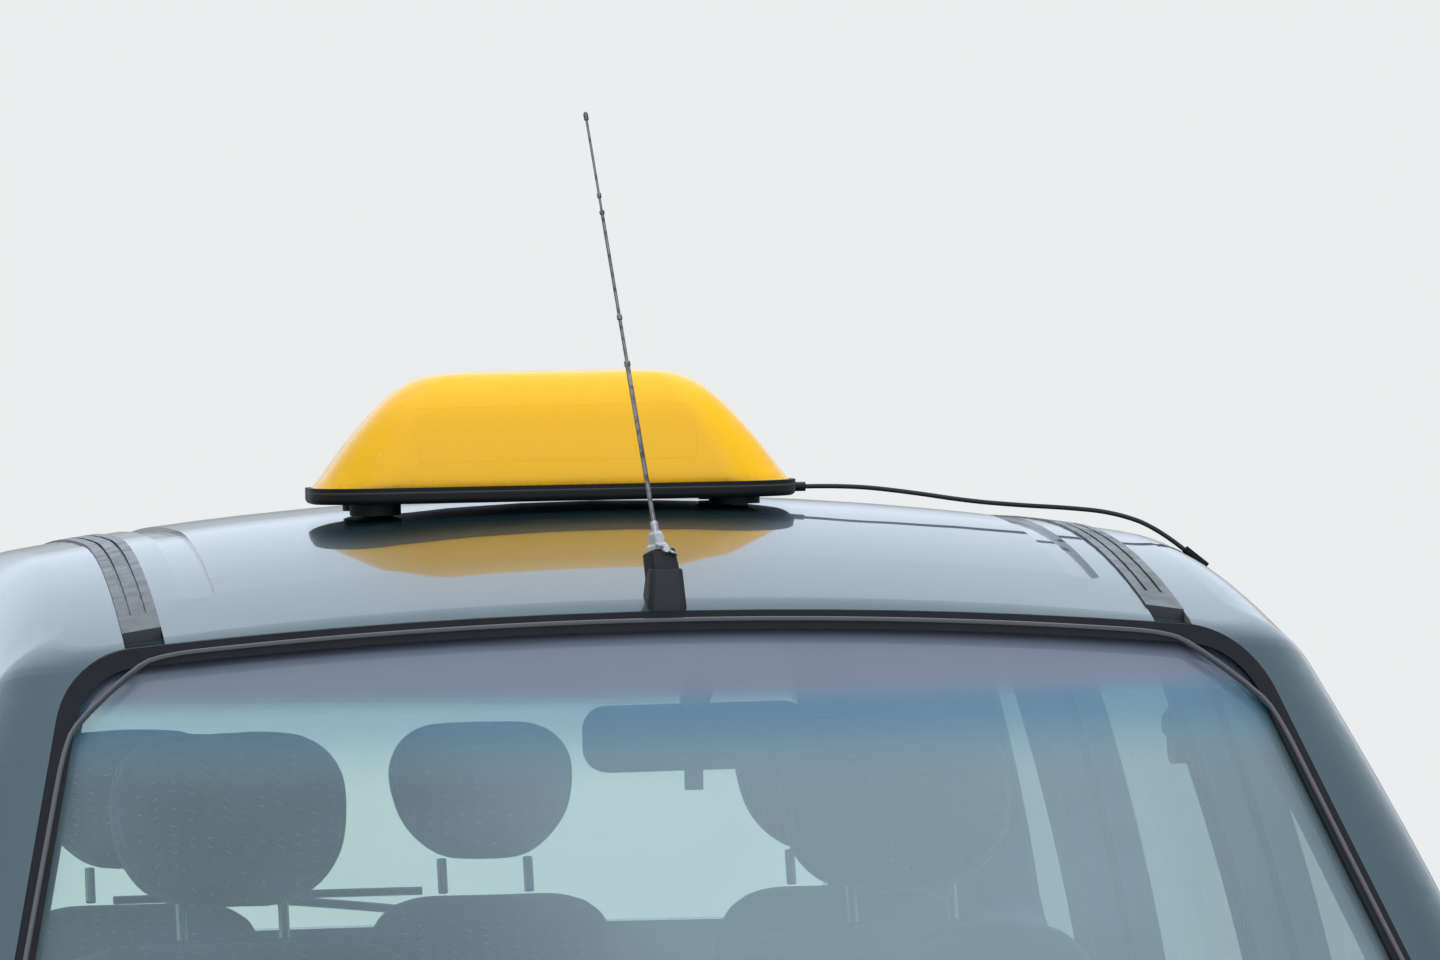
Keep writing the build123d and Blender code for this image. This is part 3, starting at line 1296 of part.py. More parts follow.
def make_arch_liners():
    front = make_liner(FRONT_AXLE_Y, LINER_INNER_X)
    rear = make_liner(REAR_AXLE_Y, REAR_LINER_INNER_X)
    return pair(front) + pair(rear)


def make_grommet():
    """The rubber collar in the roof rail that the lead goes into, just above the front door."""
    end = Vector(*CABLE_ROUTE[-1])
    along = (end - Vector(*CABLE_ROUTE[-2])).normalized()
    collar = Plane(end, z_dir=along) * Circle(CABLE_DIAMETER)
    return extrude(collar, 30) - OUTER


def door_pane(window):
    return GLASS_LAYER & side_prism(grown(outline(window), -FIT_GAP))


def write_nodes():
    """One file for each node. Each entry is a solid or a list of like solids on one body."""
    side = make_body_side() + [pad for pad in make_jack_pads() if pad.center().X > 0]
    cushions, backs, rests, frames = make_seats()
    front_door, rear_door = make_front_door(), make_rear_door()
    front_pane, rear_pane = door_pane(FRONT_WINDOW), door_pane(REAR_WINDOW)
    knuckle = make_knuckle()
    nodes = {
        "roof_panel": [make_roof()],
        "roof_strips": make_roof_strips(),
        "windscreen": [make_windscreen()],
        "windscreen_seal": [make_windscreen_seal()],
        "front_wipers": make_front_wipers(),
        "cowl": [make_cowl()],
        "bulkhead": [make_bulkhead()],
        "floor_pan": [make_floor()],
        "front_structure": [make_front_structure()],
        "front_wings": pair(make_fender()),
        "front_bumper": [make_front_bumper()],
        "rear_bumper": [make_rear_bumper()],
        "grille": [make_grille()],
        "headlamp_lenses": pair(make_headlamp_lens()),
        "headlamp_bowls": pair(make_headlamp_bowl()),
        "tail_lamps": pair(make_tail_lamp()),
        "quarter_glass": pair(GLASS_LAYER & side_prism(grown(outline(QUARTER_WINDOW), -FIT_GAP))),
        "arch_liners": make_arch_liners(),
        "engine": [make_engine()],
        "lower_arms": pair(make_lower_arm()),
        "rear_axle": [make_rear_axle()],
        "exhaust": [make_exhaust()],
        "dashboard": [make_dashboard() + make_steering_column()],
        "interior_mirror": [make_interior_mirror()],
        "seat_cushions": cushions,
        "seat_backs": backs,
        "headrests": rests,
        "seat_frames": frames,
        "sign_lens": [make_sign_lens()],
        "sign_base": [make_sign_base()],
        "sign_cable": [make_sign_cable()],
        "cable_grommet": [make_grommet()],
        "antenna": [make_antenna()],
        "bonnet": [make_bonnet()],
        "tailgate": [make_tailgate()],
        "tailgate_glass": [GLASS_LAYER & front_prism(grown(outline(TAIL_WINDOW), -FIT_GAP), 1500, 2200)],
        "steering_wheel": [make_steering_wheel()],
    }
    for name, left in (
        ("body_side", side),
        ("door_front", front_door),
        ("door_rear", rear_door),
        ("glass_front", front_pane),
        ("glass_rear", rear_pane),
        ("knuckle", knuckle),
    ):
        nodes[name + "_left"] = [left]
        nodes[name + "_right"] = [mirrored(left)]
    for end, axle_y in (("front", FRONT_AXLE_Y), ("rear", REAR_AXLE_Y)):
        tyre, wheel = make_tyre(axle_y), make_wheel(axle_y)
        nodes[f"tyre_{end}_left"] = [tyre]
        nodes[f"tyre_{end}_right"] = [mirrored(tyre)]
        nodes[f"wheel_{end}_left"] = [wheel]
        nodes[f"wheel_{end}_right"] = [mirrored(wheel)]
    os.makedirs("parts", exist_ok=True)
    for name, solids in nodes.items():
        flat = [solid for piece in solids for solid in piece.solids()]
        export_step(flat[0] if len(flat) == 1 else Compound(flat), f"parts/{name}.step")


write_nodes()
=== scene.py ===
import math

import bmesh
import bpy
from mathutils import Matrix, Vector


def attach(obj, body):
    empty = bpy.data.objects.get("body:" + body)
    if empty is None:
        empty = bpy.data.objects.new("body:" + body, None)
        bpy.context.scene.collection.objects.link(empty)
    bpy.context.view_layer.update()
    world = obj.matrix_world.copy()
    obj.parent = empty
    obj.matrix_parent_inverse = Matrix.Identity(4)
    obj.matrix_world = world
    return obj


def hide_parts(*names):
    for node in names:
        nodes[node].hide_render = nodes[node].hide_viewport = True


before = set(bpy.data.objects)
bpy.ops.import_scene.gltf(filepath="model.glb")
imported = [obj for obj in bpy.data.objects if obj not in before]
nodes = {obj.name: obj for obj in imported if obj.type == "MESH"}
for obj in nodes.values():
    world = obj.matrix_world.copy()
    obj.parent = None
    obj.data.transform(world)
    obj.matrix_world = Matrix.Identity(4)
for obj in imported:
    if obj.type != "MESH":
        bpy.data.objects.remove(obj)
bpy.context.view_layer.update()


# Camera and studio
# A long lens about 8.5 m off the car's own right-hand front, a little above the roof, as a street portrait is
# taken. The floor is pale paper that brightens into a white backdrop far off, and large soft lamps and a
# bright surround light the car evenly.
VIEW_AZIMUTH = math.radians(7.59)
VIEW_DROP = math.radians(1.2)
VIEW_ROLL = math.radians(-1.03)
VIEW_DISTANCE = 8.47
FOCAL_PIXELS = 8505
PICTURE_WIDTH = 1440
AIMED_AT = Vector((0.059, -0.540, 1.645))


def placed(name, data):
    """A new object in the scene that shows this data."""
    made = bpy.data.objects.new(name, data)
    bpy.context.scene.collection.objects.link(made)
    return made


level = math.cos(VIEW_DROP)
forward = Vector((math.sin(VIEW_AZIMUTH) * level, math.cos(VIEW_AZIMUTH) * level, -math.sin(VIEW_DROP)))
camera = placed("camera", bpy.data.cameras.new("camera"))
camera.data.sensor_width = 36
camera.data.lens = FOCAL_PIXELS / PICTURE_WIDTH * camera.data.sensor_width
camera.data.clip_end = 200
aim = Matrix.Translation(AIMED_AT - forward * VIEW_DISTANCE) @ forward.to_track_quat("-Z", "Y").to_matrix().to_4x4()
camera.matrix_world = aim @ Matrix.Rotation(VIEW_ROLL, 4, "Z")
bpy.context.scene.camera = camera
bpy.context.scene.view_settings.view_transform = "Standard"


class ShaderTree:
    """The nodes of a material or of the world. Each node that is added comes back as a Socket."""

    def __init__(self, tree, space):
        self.tree = tree
        self.place = self.node("ShaderNodeTexCoord", output=space)

    def feed(self, target, value):
        if isinstance(value, Socket):
            self.tree.links.new(value.link, target)
        elif isinstance(value, tuple) and len(value) == 3 and len(target.default_value) == 4:
            target.default_value = (*value, 1)
        else:
            target.default_value = value

    def node(self, kind, settings=None, sockets=None, output=0):
        """Adds one node: its settings first, then the values or links of its sockets."""
        made = self.tree.nodes.new(kind)
        for name, value in (settings or {}).items():
            setattr(made, name, value)
        for name, value in (sockets or {}).items():
            self.feed(made.inputs[name], value)
        return Socket(self, made.outputs[output])

    def mix(self, share, first, second):
        return self.node("ShaderNodeMix", {"data_type": "RGBA"}, {0: share, 6: first, 7: second}, output=2)

    def noise(self, scale, detail=4.0, stretch=None):
        where = self.place
        if stretch:
            where = self.node("ShaderNodeMapping", None, {"Vector": where, "Scale": stretch})
        return self.node("ShaderNodeTexNoise", None, {"Vector": where, "Scale": scale, "Detail": detail})

    def band(self, value, low, high, most=1.0):
        """0 below low, most above high, and smooth between them."""
        limits = {"Value": value, "From Min": low, "From Max": high, "To Max": most}
        return self.node("ShaderNodeMapRange", {"interpolation_type": "SMOOTHSTEP"}, limits)

    def patches(self, scale, detail, low, high, stretch=None):
        """1 in the heart of a noise's patches and 0 between them."""
        return self.band(self.noise(scale, detail, stretch), low, high)

    def axes(self, vector=None):
        split = self.node("ShaderNodeSeparateXYZ", None, {0: vector or self.place})
        return [Socket(self, output) for output in split.link.node.outputs]


class Paint(ShaderTree):
    """A material under construction: one principled shader, and nodes that feed it."""

    def __init__(self, name, **sockets):
        self.material = bpy.data.materials.new(name)
        self.material.use_nodes = True
        super().__init__(self.material.node_tree, "Object")
        self.shader = self.tree.nodes["Principled BSDF"]
        self.set(**sockets)

    def set(self, **sockets):
        for name, value in sockets.items():
            self.feed(self.shader.inputs[name.replace("_", " ").title().replace("Ior", "IOR")], value)

    def bump(self, height, distance, strength=1.0):
        sockets = {"Height": height, "Distance": distance, "Strength": strength}
        self.set(normal=self.node("ShaderNodeBump", None, sockets))

    def blend(self, share, first=None, second=None):
        """Sends a mix of two shaders to the output. The one that isn't given is the paint's own."""
        own = Socket(self, self.shader.outputs[0])
        both = self.node("ShaderNodeMixShader", None, {0: share, 1: first or own, 2: second or own})
        self.tree.links.new(both.link, self.tree.nodes["Material Output"].inputs[0])


class Socket:
    """A number or colour that a node gives. Arithmetic on it adds Math nodes."""

    def __init__(self, paint, link):
        self.paint = paint
        self.link = link

    def arithmetic(operation, swapped=False):
        def method(self, other=0.0):
            first, second = (other, self) if swapped else (self, other)
            return self.paint.node("ShaderNodeMath", {"operation": operation}, {0: first, 1: second})

        return method

    __add__ = __radd__ = arithmetic("ADD")
    __sub__ = arithmetic("SUBTRACT")
    __rsub__ = arithmetic("SUBTRACT", swapped=True)
    __mul__ = __rmul__ = arithmetic("MULTIPLY")
    __pow__ = arithmetic("POWER")
    __mod__ = arithmetic("FLOORED_MODULO")
    __gt__ = arithmetic("GREATER_THAN")
    __lt__ = arithmetic("LESS_THAN")
    __abs__ = arithmetic("ABSOLUTE")


STUDIO_WIDTH = 60
PAPER = (0.88, 0.85, 0.81)
SHEET_WHITE = (0.93, 0.94, 0.95)
SHEET_GLOW = 0.9

paper_mesh = bmesh.new()
bmesh.ops.create_grid(paper_mesh, x_segments=1, y_segments=1, size=STUDIO_WIDTH / 2)
floor_data = bpy.data.meshes.new("paper_floor")
paper_mesh.to_mesh(floor_data)
paper_mesh.free()
studio_floor = placed("paper_floor", floor_data)
paper = Paint("paper", base_color=PAPER, roughness=0.9)
along_floor = paper.node("ShaderNodeVectorMath", {"operation": "LENGTH"}, {0: paper.place}, output=1)
lit_sheet = paper.node("ShaderNodeEmission", None, {"Color": SHEET_WHITE, "Strength": SHEET_GLOW})
looked_at = paper.node("ShaderNodeLightPath")
paper.blend(paper.band(along_floor, 4.5, 11) * looked_at, second=lit_sheet)
studio_floor.data.materials.append(paper.material)

LAMPS = (
    ("overhead", (0.0, 0.5, 6.0), (0.0, 0.3, 0.0), 7.0, 170),
    ("front", (3.5, -8.0, 6.0), (0.0, -0.5, 1.0), 6.0, 150),
    ("left_side", (7.0, -2.0, 4.5), (0.0, 0.0, 0.8), 4.0, 110),
    ("rear", (-3.0, 8.0, 4.0), (0.0, 1.0, 0.8), 4.0, 110),
)
for lamp_name, lamp_place, lamp_target, lamp_size, watts in LAMPS:
    lamp = placed(lamp_name, bpy.data.lights.new(lamp_name, "AREA"))
    lamp.data.size = lamp_size
    lamp.data.energy = watts
    lamp.location = lamp_place
    lamp.visible_glossy = False
    lamp.rotation_euler = (Vector(lamp_target) - Vector(lamp_place)).to_track_quat("-Z", "Y").to_euler()

# The surround is white where it is seen or looked at through glass. As a light, and in the paint, it is a
# pale blue sky that greys towards the ground and is screened off at both sides of the car.
GROUND_GREY = (0.40, 0.43, 0.44)
SKY_BLUE = (1.02, 1.15, 1.32)
SKY_CLEARS = 0.12
SCREEN_GREY = (0.20, 0.24, 0.26)

world = bpy.data.worlds.new("surround")
bpy.context.scene.world = world
world.use_nodes = True
sky = ShaderTree(world.node_tree, "Generated")
x, y, z = sky.axes()
tint = sky.node("ShaderNodeValToRGB", None, {0: z})
for stop, place, colour in zip(tint.link.node.color_ramp.elements, (0.0, SKY_CLEARS), (GROUND_GREY, SKY_BLUE)):
    stop.position = place
    stop.color = (*colour, 1)
screened = sky.mix(sky.band(abs(x), 0.30, 0.70, 0.75), tint, SCREEN_GREY)
seen = sky.node("ShaderNodeLightPath", output="Is Camera Ray")
background = sky.tree.nodes["Background"]
sky.feed(background.inputs["Color"], sky.mix(seen, screened, SHEET_WHITE))
sky.feed(background.inputs["Strength"], SHEET_GLOW)


# The sign's lead
# A thin round flex, black, about 5 mm. It leaves the sign's gland, crosses the left rubber strip and goes
# into a rubber collar on the roof rail above the front door.
LEAD_DIAMETER = 0.005
LEAD_ROUTE = (
    (0.222, 0.0, 1.625),
    (0.270, 0.0, 1.625),
    (0.332, -0.008, 1.617),
    (0.396, -0.022, 1.606),
    (0.456, -0.012, 1.600),
    (0.508, 0.008, 1.596),
    (0.556, 0.014, 1.590),
    (0.600, 0.006, 1.574),
    (0.630, 0.002, 1.549),
)


def curve_through(name, points, radius):
    """A round cord whose line is one smooth NURBS spline with these points as its controls."""
    data = bpy.data.curves.new(name, "CURVE")
    data.dimensions = "3D"
    spline = data.splines.new("NURBS")
    spline.points.add(len(points) - 1)
    for control, point in zip(spline.points, points):
        control.co = (*point, 1)
    spline.order_u = 3
    spline.use_endpoint_u = True
    data.resolution_u = 12
    data.bevel_depth = radius
    data.bevel_resolution = 5
    data.use_fill_caps = True
    return placed(name, data)


def spline_length(route):
    """The length of that spline, from its own line with no bevel."""
    bare = curve_through("bare_line", route, 0)
    mesh = bpy.data.meshes.new_from_object(bare)
    length = sum((mesh.vertices[e.vertices[0]].co - mesh.vertices[e.vertices[1]].co).length for e in mesh.edges)
    bpy.data.objects.remove(bare)
    bpy.data.meshes.remove(mesh)
    return length


flex = Paint("flex sheath", base_color=(0.012, 0.012, 0.013), roughness=0.42)
flex.bump(flex.noise(1400), 0.0001, 0.4)
sign_lead = curve_through("sign_lead", LEAD_ROUTE, LEAD_DIAMETER / 2)
sign_lead.data.materials.append(flex.material)
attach(sign_lead, "root")
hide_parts("sign_cable")
spline_length(LEAD_ROUTE)


# Painted panels
# Pressed steel in a dark teal metallic under clear coat, a little dusty low down. Inside, the roof carries
# a pale moulded lining, and the pillars, tailgate and doors carry grey trim.
TEAL = (0.014, 0.047, 0.060)
TEAL_FLECK = (0.048, 0.115, 0.135)
ROAD_DUST = (0.235, 0.225, 0.200)
LINING_GREY = (0.47, 0.47, 0.45)
PILLAR_GREY = (0.23, 0.235, 0.24)
DOOR_TRIM_GREY = (0.055, 0.058, 0.065)


def teal_paint(name, inner=None, inner_colour=LINING_GREY):
    """The car's paint. inner(paint, normal) gives the share of trim where a panel faces the cabin."""
    paint = Paint(name, coat_weight=1.0, coat_roughness=0.025, coat_ior=1.5)
    x, y, z = paint.axes()
    fleck = paint.node("ShaderNodeTexVoronoi", None, {"Vector": paint.place, "Scale": 2600})
    cloud = paint.noise(3.2, 3)
    shade = paint.mix(paint.band(fleck, 0.25, 0.75) * 0.42 + cloud * 0.22, TEAL, TEAL_FLECK)
    specks = paint.patches(420, 2, 0.60, 0.78) * 0.16
    low = (1 - paint.band(z, 0.15, 0.62)) ** 2 * (0.45 + paint.noise(26, 7) * 0.55)
    dust = low * 0.55 + specks * 0.25
    coloured = paint.mix(dust, shade, ROAD_DUST)
    rough = 0.30 + dust * 0.45 + cloud * 0.05
    metal = 0.62 - dust * 0.6
    peel = paint.noise(210, 2) * 0.5 + paint.noise(38, 2)
    if inner:
        normal = Socket(paint, paint.place.link.node.outputs["Normal"])
        share = inner(paint, normal)
        grain = paint.noise(900, 3)
        lined = paint.mix(grain * 0.35, inner_colour, tuple(0.72 * c for c in inner_colour))
        coloured = paint.mix(share, coloured, lined)
        rough += share * (0.82 - rough)
        metal = metal * (1 - share)
        paint.set(coat_weight=1 - share)
    paint.set(base_color=coloured, roughness=rough, metallic=metal)
    paint.bump(peel, 0.00012, 0.22)
    return paint


def facing_in(paint, normal):
    """Sides and doors: where the surface looks towards the centre line."""
    side = paint.axes()[0] * paint.axes(normal)[0]
    return paint.band(0 - side, 0.16, 0.30)


def facing_down(paint, normal):
    return paint.band(0 - paint.axes(normal)[2], 0.30, 0.55)


def facing_forward(paint, normal):
    return paint.band(0 - paint.axes(normal)[1], 0.35, 0.60)


PANEL_FINISHES = (
    ("teal outside, pillar trim inside", facing_in, PILLAR_GREY, ("body_side_left", "body_side_right")),
    ("teal outside, roof lining inside", facing_down, LINING_GREY, ("roof_panel",)),
    ("teal outside, tailgate trim inside", facing_forward, PILLAR_GREY, ("tailgate",)),
    (
        "teal outside, door trim inside",
        facing_in,
        DOOR_TRIM_GREY,
        ("door_front_left", "door_front_right", "door_rear_left", "door_rear_right"),
    ),
    ("teal both sides", None, None, ("front_wings", "bonnet", "front_bumper", "rear_bumper")),
)


def repaint(paint, *names):
    """Gives CAD nodes a finish."""
    for name in names:
        nodes[name].data.materials.clear()
        nodes[name].data.materials.append(paint.material)


for finish_name, inner_side, inner_colour, panel_names in PANEL_FINISHES:
    repaint(teal_paint(finish_name, inner_side, inner_colour), *panel_names)


# Glass
# Laminated and toughened panes, faintly green. Each pane is mixed with a pale opaque colour that is a painted
# reflection of the sky. It is thickest on the windscreen, most so towards the car's left where the light comes from,
# and patchy, so the cabin looks pale and flat through it. The windscreen has a sun band along its top, grey in the
# header and then blue, that fades out a hand's breadth down. Its colour there is the band's own tint and painted
# reflection.
CLEAR_GREEN = (0.88, 0.95, 0.935)
# Colours of the screen's painted sky reflection: clear below, then blue in the sun band and grey in the header, with
# the band's own tint mixed in.
PAINTED_SKY_CLEAR = (0.46, 0.58, 0.64)
SUN_BAND_BLUE_AND_PAINTED_SKY = (0.17, 0.31, 0.42)
HEADER_GREY_AND_PAINTED_SKY = (0.16, 0.18, 0.24)
SUN_BAND_FOOT = 1.345
HEADER_BAND = (1.422, 1.448)


def pane_paint(name, tint, painted_sky_colour=(0.30, 0.34, 0.36), painted_sky_share=0.03):
    """A pane that shows what is behind it through a clear share. The rest is mirrored light and an opaque colour that
    is a painted reflection of the sky.

    The painted reflection's colour and share are constants, or are made by a function of the paint.
    """
    paint = Paint(name, roughness=0.02, ior=1.5)
    painted_sky_colour, painted_sky_share = (value(paint) if callable(value) else value for value in (painted_sky_colour, painted_sky_share))
    clear = paint.node("ShaderNodeBsdfTransparent", None, {"Color": tint})
    facing = paint.node("ShaderNodeLayerWeight", None, {"Blend": 0.5}, output=1)
    mirrored = 0.04 + facing**5 * 0.9
    film = paint.patches(6, 5, 0.35, 0.85) * 0.03
    # The base colour is the painted sky reflection, and film adds smudgy patches of it.
    paint.set(base_color=painted_sky_colour)
    paint.blend(mirrored + film + painted_sky_share, first=clear)
    return paint


# The colour of the screen's painted sky reflection, with the sun band's and header's own tints mixed in.
def screen_tint_and_painted_sky_colour(paint):
    height = paint.axes()[2]
    blue = paint.band(height, SUN_BAND_FOOT, 1.420)
    grey = paint.band(height, *HEADER_BAND)
    return paint.mix(grey, paint.mix(blue, PAINTED_SKY_CLEAR, SUN_BAND_BLUE_AND_PAINTED_SKY), HEADER_GREY_AND_PAINTED_SKY)


def screen_painted_sky_share(paint):
    """The share of painted sky reflection: thicker in the sun band and the header, and towards the car's left, where
    the light comes from.
    """
    x, y, height = paint.axes()
    drift = paint.band(x + paint.noise(3, 2) * 0.15, -0.36, 0.16) * (1 - paint.band(x, 0.35, 0.60) * 0.5)
    below = 0.085 + drift * 0.125
    return below + paint.band(height, SUN_BAND_FOOT, 1.425) * 0.20 + paint.band(height, *HEADER_BAND) * 0.42


repaint(pane_paint("laminated screen", CLEAR_GREEN, screen_tint_and_painted_sky_colour, screen_painted_sky_share), "windscreen")
# The side and tailgate panes carry a faint grey painted sky reflection.
side_glass = pane_paint("toughened side glass", CLEAR_GREEN)
repaint(side_glass, "quarter_glass", "tailgate_glass")
repaint(side_glass, "glass_front_left", "glass_front_right", "glass_rear_left", "glass_rear_right")


# Rubber
# Black moulded rubber: the ring round the windscreen and the lead's collar, smooth with a dull sheen, and the
# two strips in the roof ditches, shinier and greyed by dust in patches.
seal_rubber = Paint("seal rubber", base_color=(0.004, 0.004, 0.005), specular_ior_level=0.2)
seal_rubber.set(roughness=0.42 + seal_rubber.noise(35, 4) * 0.22)
seal_rubber.bump(seal_rubber.noise(500, 3), 0.0001, 0.4)

strip_rubber = Paint("roof strip rubber")
settled = strip_rubber.patches(45, 3, 0.35, 0.75)
strip_rubber.set(
    base_color=strip_rubber.mix(settled * 0.14, (0.030, 0.032, 0.035), (0.13, 0.13, 0.13)),
    roughness=0.24 + settled * 0.16,
)
strip_rubber.bump(strip_rubber.noise(800, 3), 0.0001, 0.3)
repaint(seal_rubber, "windscreen_seal", "cable_grommet")
repaint(strip_rubber, "roof_strips")


# Roof sign
# A blown lens of translucent yellow plastic on a black tray. Its face carries a clear film, a slightly deeper
# yellow with a fine raised edge. The lens is scuffed at one end, and darker and browner in patches along its foot.
# The tray's lip and groove are painted pale grey as a painted highlight.
SIGN_CENTRE = Vector((-0.050, 0.0, 1.634))
FILM_HALF_LENGTH = 0.146
FILM_LOW = 0.026
FILM_HIGH = 0.082
FILM_EDGE = 0.0008
SIGN_YELLOW = (0.96, 0.50, 0.003)
SIGN_DEEP = (0.82, 0.36, 0.002)

lens = Paint(
    "sign lens",
    ior=1.49,
    specular_ior_level=0.3,
    subsurface_weight=0.25,
    subsurface_radius=(0.03, 0.016, 0.002),
    coat_weight=0.25,
    coat_roughness=0.06,
)
x, y, z = lens.axes()
across = abs(x - SIGN_CENTRE.x)
upward = z - SIGN_CENTRE.z


def inside_film(grow):
    """1 within the film's rectangle, grown by a margin."""
    level = (upward > FILM_LOW - grow) * (upward < FILM_HIGH + grow)
    return (across < FILM_HALF_LENGTH + grow) * level


film = inside_film(0)
rim = inside_film(FILM_EDGE) - film
scuffed = lens.patches(130, 6, 0.66, 0.74, stretch=(0.8, 1, 1.5)) * lens.band(0 - x, 0.06, 0.22)
# Darker and browner in patches along the lens's lowest centimetre.
foot_darkening = (1 - lens.band(upward, 0.001, 0.010)) * lens.patches(140, 5, 0.3, 0.7)
yellow = lens.mix(film * 0.04 + rim * 0.45, SIGN_YELLOW, SIGN_DEEP)
yellow = lens.mix(scuffed * 0.35, yellow, (0.93, 0.72, 0.35))
yellow = lens.mix(foot_darkening * 0.22, yellow, (0.30, 0.19, 0.05))
lens.set(base_color=yellow, roughness=0.24 + scuffed * 0.35 + foot_darkening * 0.2 - film * 0.05)
lens.bump(film * 0.6 + scuffed * 0.35 + lens.noise(240, 2) * 0.04, 0.0004, 0.5)
repaint(lens, "sign_lens")

TRAY_GROOVE = (1.6272, 1.6286)
TRAY_LIP = 1.6296
tray = Paint("sign tray", specular_ior_level=0.3)
tray.set(roughness=0.40 + tray.noise(90, 5) * 0.2)
tray_height = tray.axes()[2]
groove = (tray_height > TRAY_GROOVE[0]) * (tray_height < TRAY_GROOVE[1])
lip = (tray_height > TRAY_GROOVE[1]) * (tray_height < TRAY_LIP)
# The band above the groove is painted pale grey, and the groove faintly so: a painted highlight along the tray's lip.
tray.set(base_color=tray.mix(lip * 0.5 + groove * 0.1, (0.008, 0.008, 0.008), (0.16, 0.155, 0.145)))
tray.bump(tray.noise(1200, 3) * 0.1 - groove, 0.0012, 0.7)
repaint(tray, "sign_base")


# Aerial
# A taxi radio's whip at the windscreen's head. A black rubber boot of two blocks sits on the roof, a steel
# collar with a wing screw clamps the mast above it, and the mast steps down in drawn sections with collars.
AERIAL_FOOT = Vector((0.0, -0.552, 1.533))
AERIAL_LEAN_BACK = -10
AERIAL_LEAN_SIDE = -7.2
CLAMP_PROFILE = ((0.0110, 0.030), (0.0125, 0.032), (0.0125, 0.038), (0.0090, 0.041), (0.0085, 0.050), (0.0055, 0.053))
COLLAR_PROFILE = ((0.0040, 0.048), (0.0040, 0.062), (0.0024, 0.064))
MAST_PROFILE = (
    (0.0024, 0.064), (0.0024, 0.221), (0.0032, 0.222), (0.0032, 0.2265), (0.0018, 0.228), (0.0018, 0.269),
    (0.0028, 0.270), (0.0028, 0.274), (0.0017, 0.275), (0.0017, 0.377), (0.0026, 0.378), (0.0026, 0.381),
    (0.0013, 0.382), (0.0013, 0.394), (0.0023, 0.395), (0.0023, 0.399), (0.0013, 0.400), (0.0013, 0.474),
    (0.0025, 0.475), (0.0025, 0.481), (0.0012, 0.483),
)


def mesh_object(name, mesh, *paints, smooth=None):
    """Turns a bmesh into an object with its paints. Edges sharper than smooth degrees stay hard."""
    bmesh.ops.recalc_face_normals(mesh, faces=mesh.faces)
    if smooth is not None:
        for face in mesh.faces:
            face.smooth = True
        for edge in mesh.edges:
            edge.smooth = edge.is_manifold and edge.calc_face_angle(0) < math.radians(smooth)
    data = bpy.data.meshes.new(name)
    mesh.to_mesh(data)
    mesh.free()
    for paint in paints:
        data.materials.append(paint.material)
    return placed(name, data)


def turn_profile(mesh, profile, steps, matrix=Matrix(), paint_index=0):
    """Spins (radius, height) points about Z, closes both ends, and puts the turned piece by matrix."""
    known = set(mesh.verts)
    rows = [(0.0, profile[0][1])] + list(profile) + [(0.0, profile[-1][1])]
    points = [mesh.verts.new((radius, 0, height)) for radius, height in rows]
    line = [mesh.edges.new(pair) for pair in zip(points, points[1:])]
    bmesh.ops.spin(
        mesh, geom=points + line, cent=(0, 0, 0), axis=(0, 0, 1), angle=math.tau, steps=steps, use_merge=True
    )
    made = [v for v in mesh.verts if v not in known]
    bmesh.ops.remove_doubles(mesh, verts=made, dist=1e-6)
    made = [v for v in mesh.verts if v not in known]
    bmesh.ops.transform(mesh, matrix=matrix, verts=made)
    for face in {f for v in made for f in v.link_faces}:
        face.material_index = paint_index
    return made


def surface_point(node_name, origin, direction):
    """Where a straight line from origin first meets a CAD node, or None."""
    hit, place, normal, face = nodes[node_name].ray_cast(Vector(origin), Vector(direction))
    return place if hit else None


def rotation(axis, degrees):
    return Matrix.Rotation(math.radians(degrees), 4, axis)


def box(mesh, matrix, size, paint_index=0):
    """A plain block, centred at its own origin and put in place by matrix."""
    made = bmesh.ops.create_cube(mesh, size=1, matrix=matrix @ Matrix.Diagonal((*size, 1)))["verts"]
    for face in {face for vert in made for face in vert.link_faces}:
        face.material_index = paint_index
    return made


def rounded_plate(mesh, width, height, depth, radius, matrix, paint_index=0):
    """A plate with round corners, centred in its own X and Y, its back at Z 0, put in place by matrix."""
    known = set(mesh.verts)
    block = box(mesh, Matrix.Translation((0, 0, depth / 2)), (width, height, depth), paint_index)
    edges = {edge for vert in block for edge in vert.link_edges}
    upright = [edge for edge in edges if abs((edge.verts[0].co - edge.verts[1].co).normalized().z) > 0.9]
    bmesh.ops.bevel(
        mesh, geom=upright, offset=radius, offset_type="OFFSET", affect="EDGES", segments=6, profile=0.5, material=-1
    )
    made = [vert for vert in mesh.verts if vert not in known]
    bmesh.ops.transform(mesh, matrix=matrix, verts=made)
    for face in {face for vert in made for face in vert.link_faces}:
        face.material_index = paint_index
    return made


boot_rubber = Paint("aerial boot", base_color=(0.012, 0.012, 0.013))
boot_rubber.set(roughness=0.42 + boot_rubber.noise(300, 5) * 0.25)
boot_rubber.bump(boot_rubber.noise(900, 3), 0.0002, 0.5)
collar_steel = Paint("collar steel", base_color=(0.66, 0.66, 0.65), metallic=1.0)
collar_steel.set(roughness=0.18 + collar_steel.noise(400, 4) * 0.30)
collar_steel.bump(collar_steel.noise(260, 4), 0.0012, 0.6)
mast_steel = Paint("mast steel", metallic=1.0, roughness=0.24)
worn = mast_steel.patches(120, 6, 0.45, 0.70)
mast_steel.set(base_color=mast_steel.mix(worn, (0.33, 0.32, 0.31), (0.12, 0.10, 0.09)))

aerial = bmesh.new()


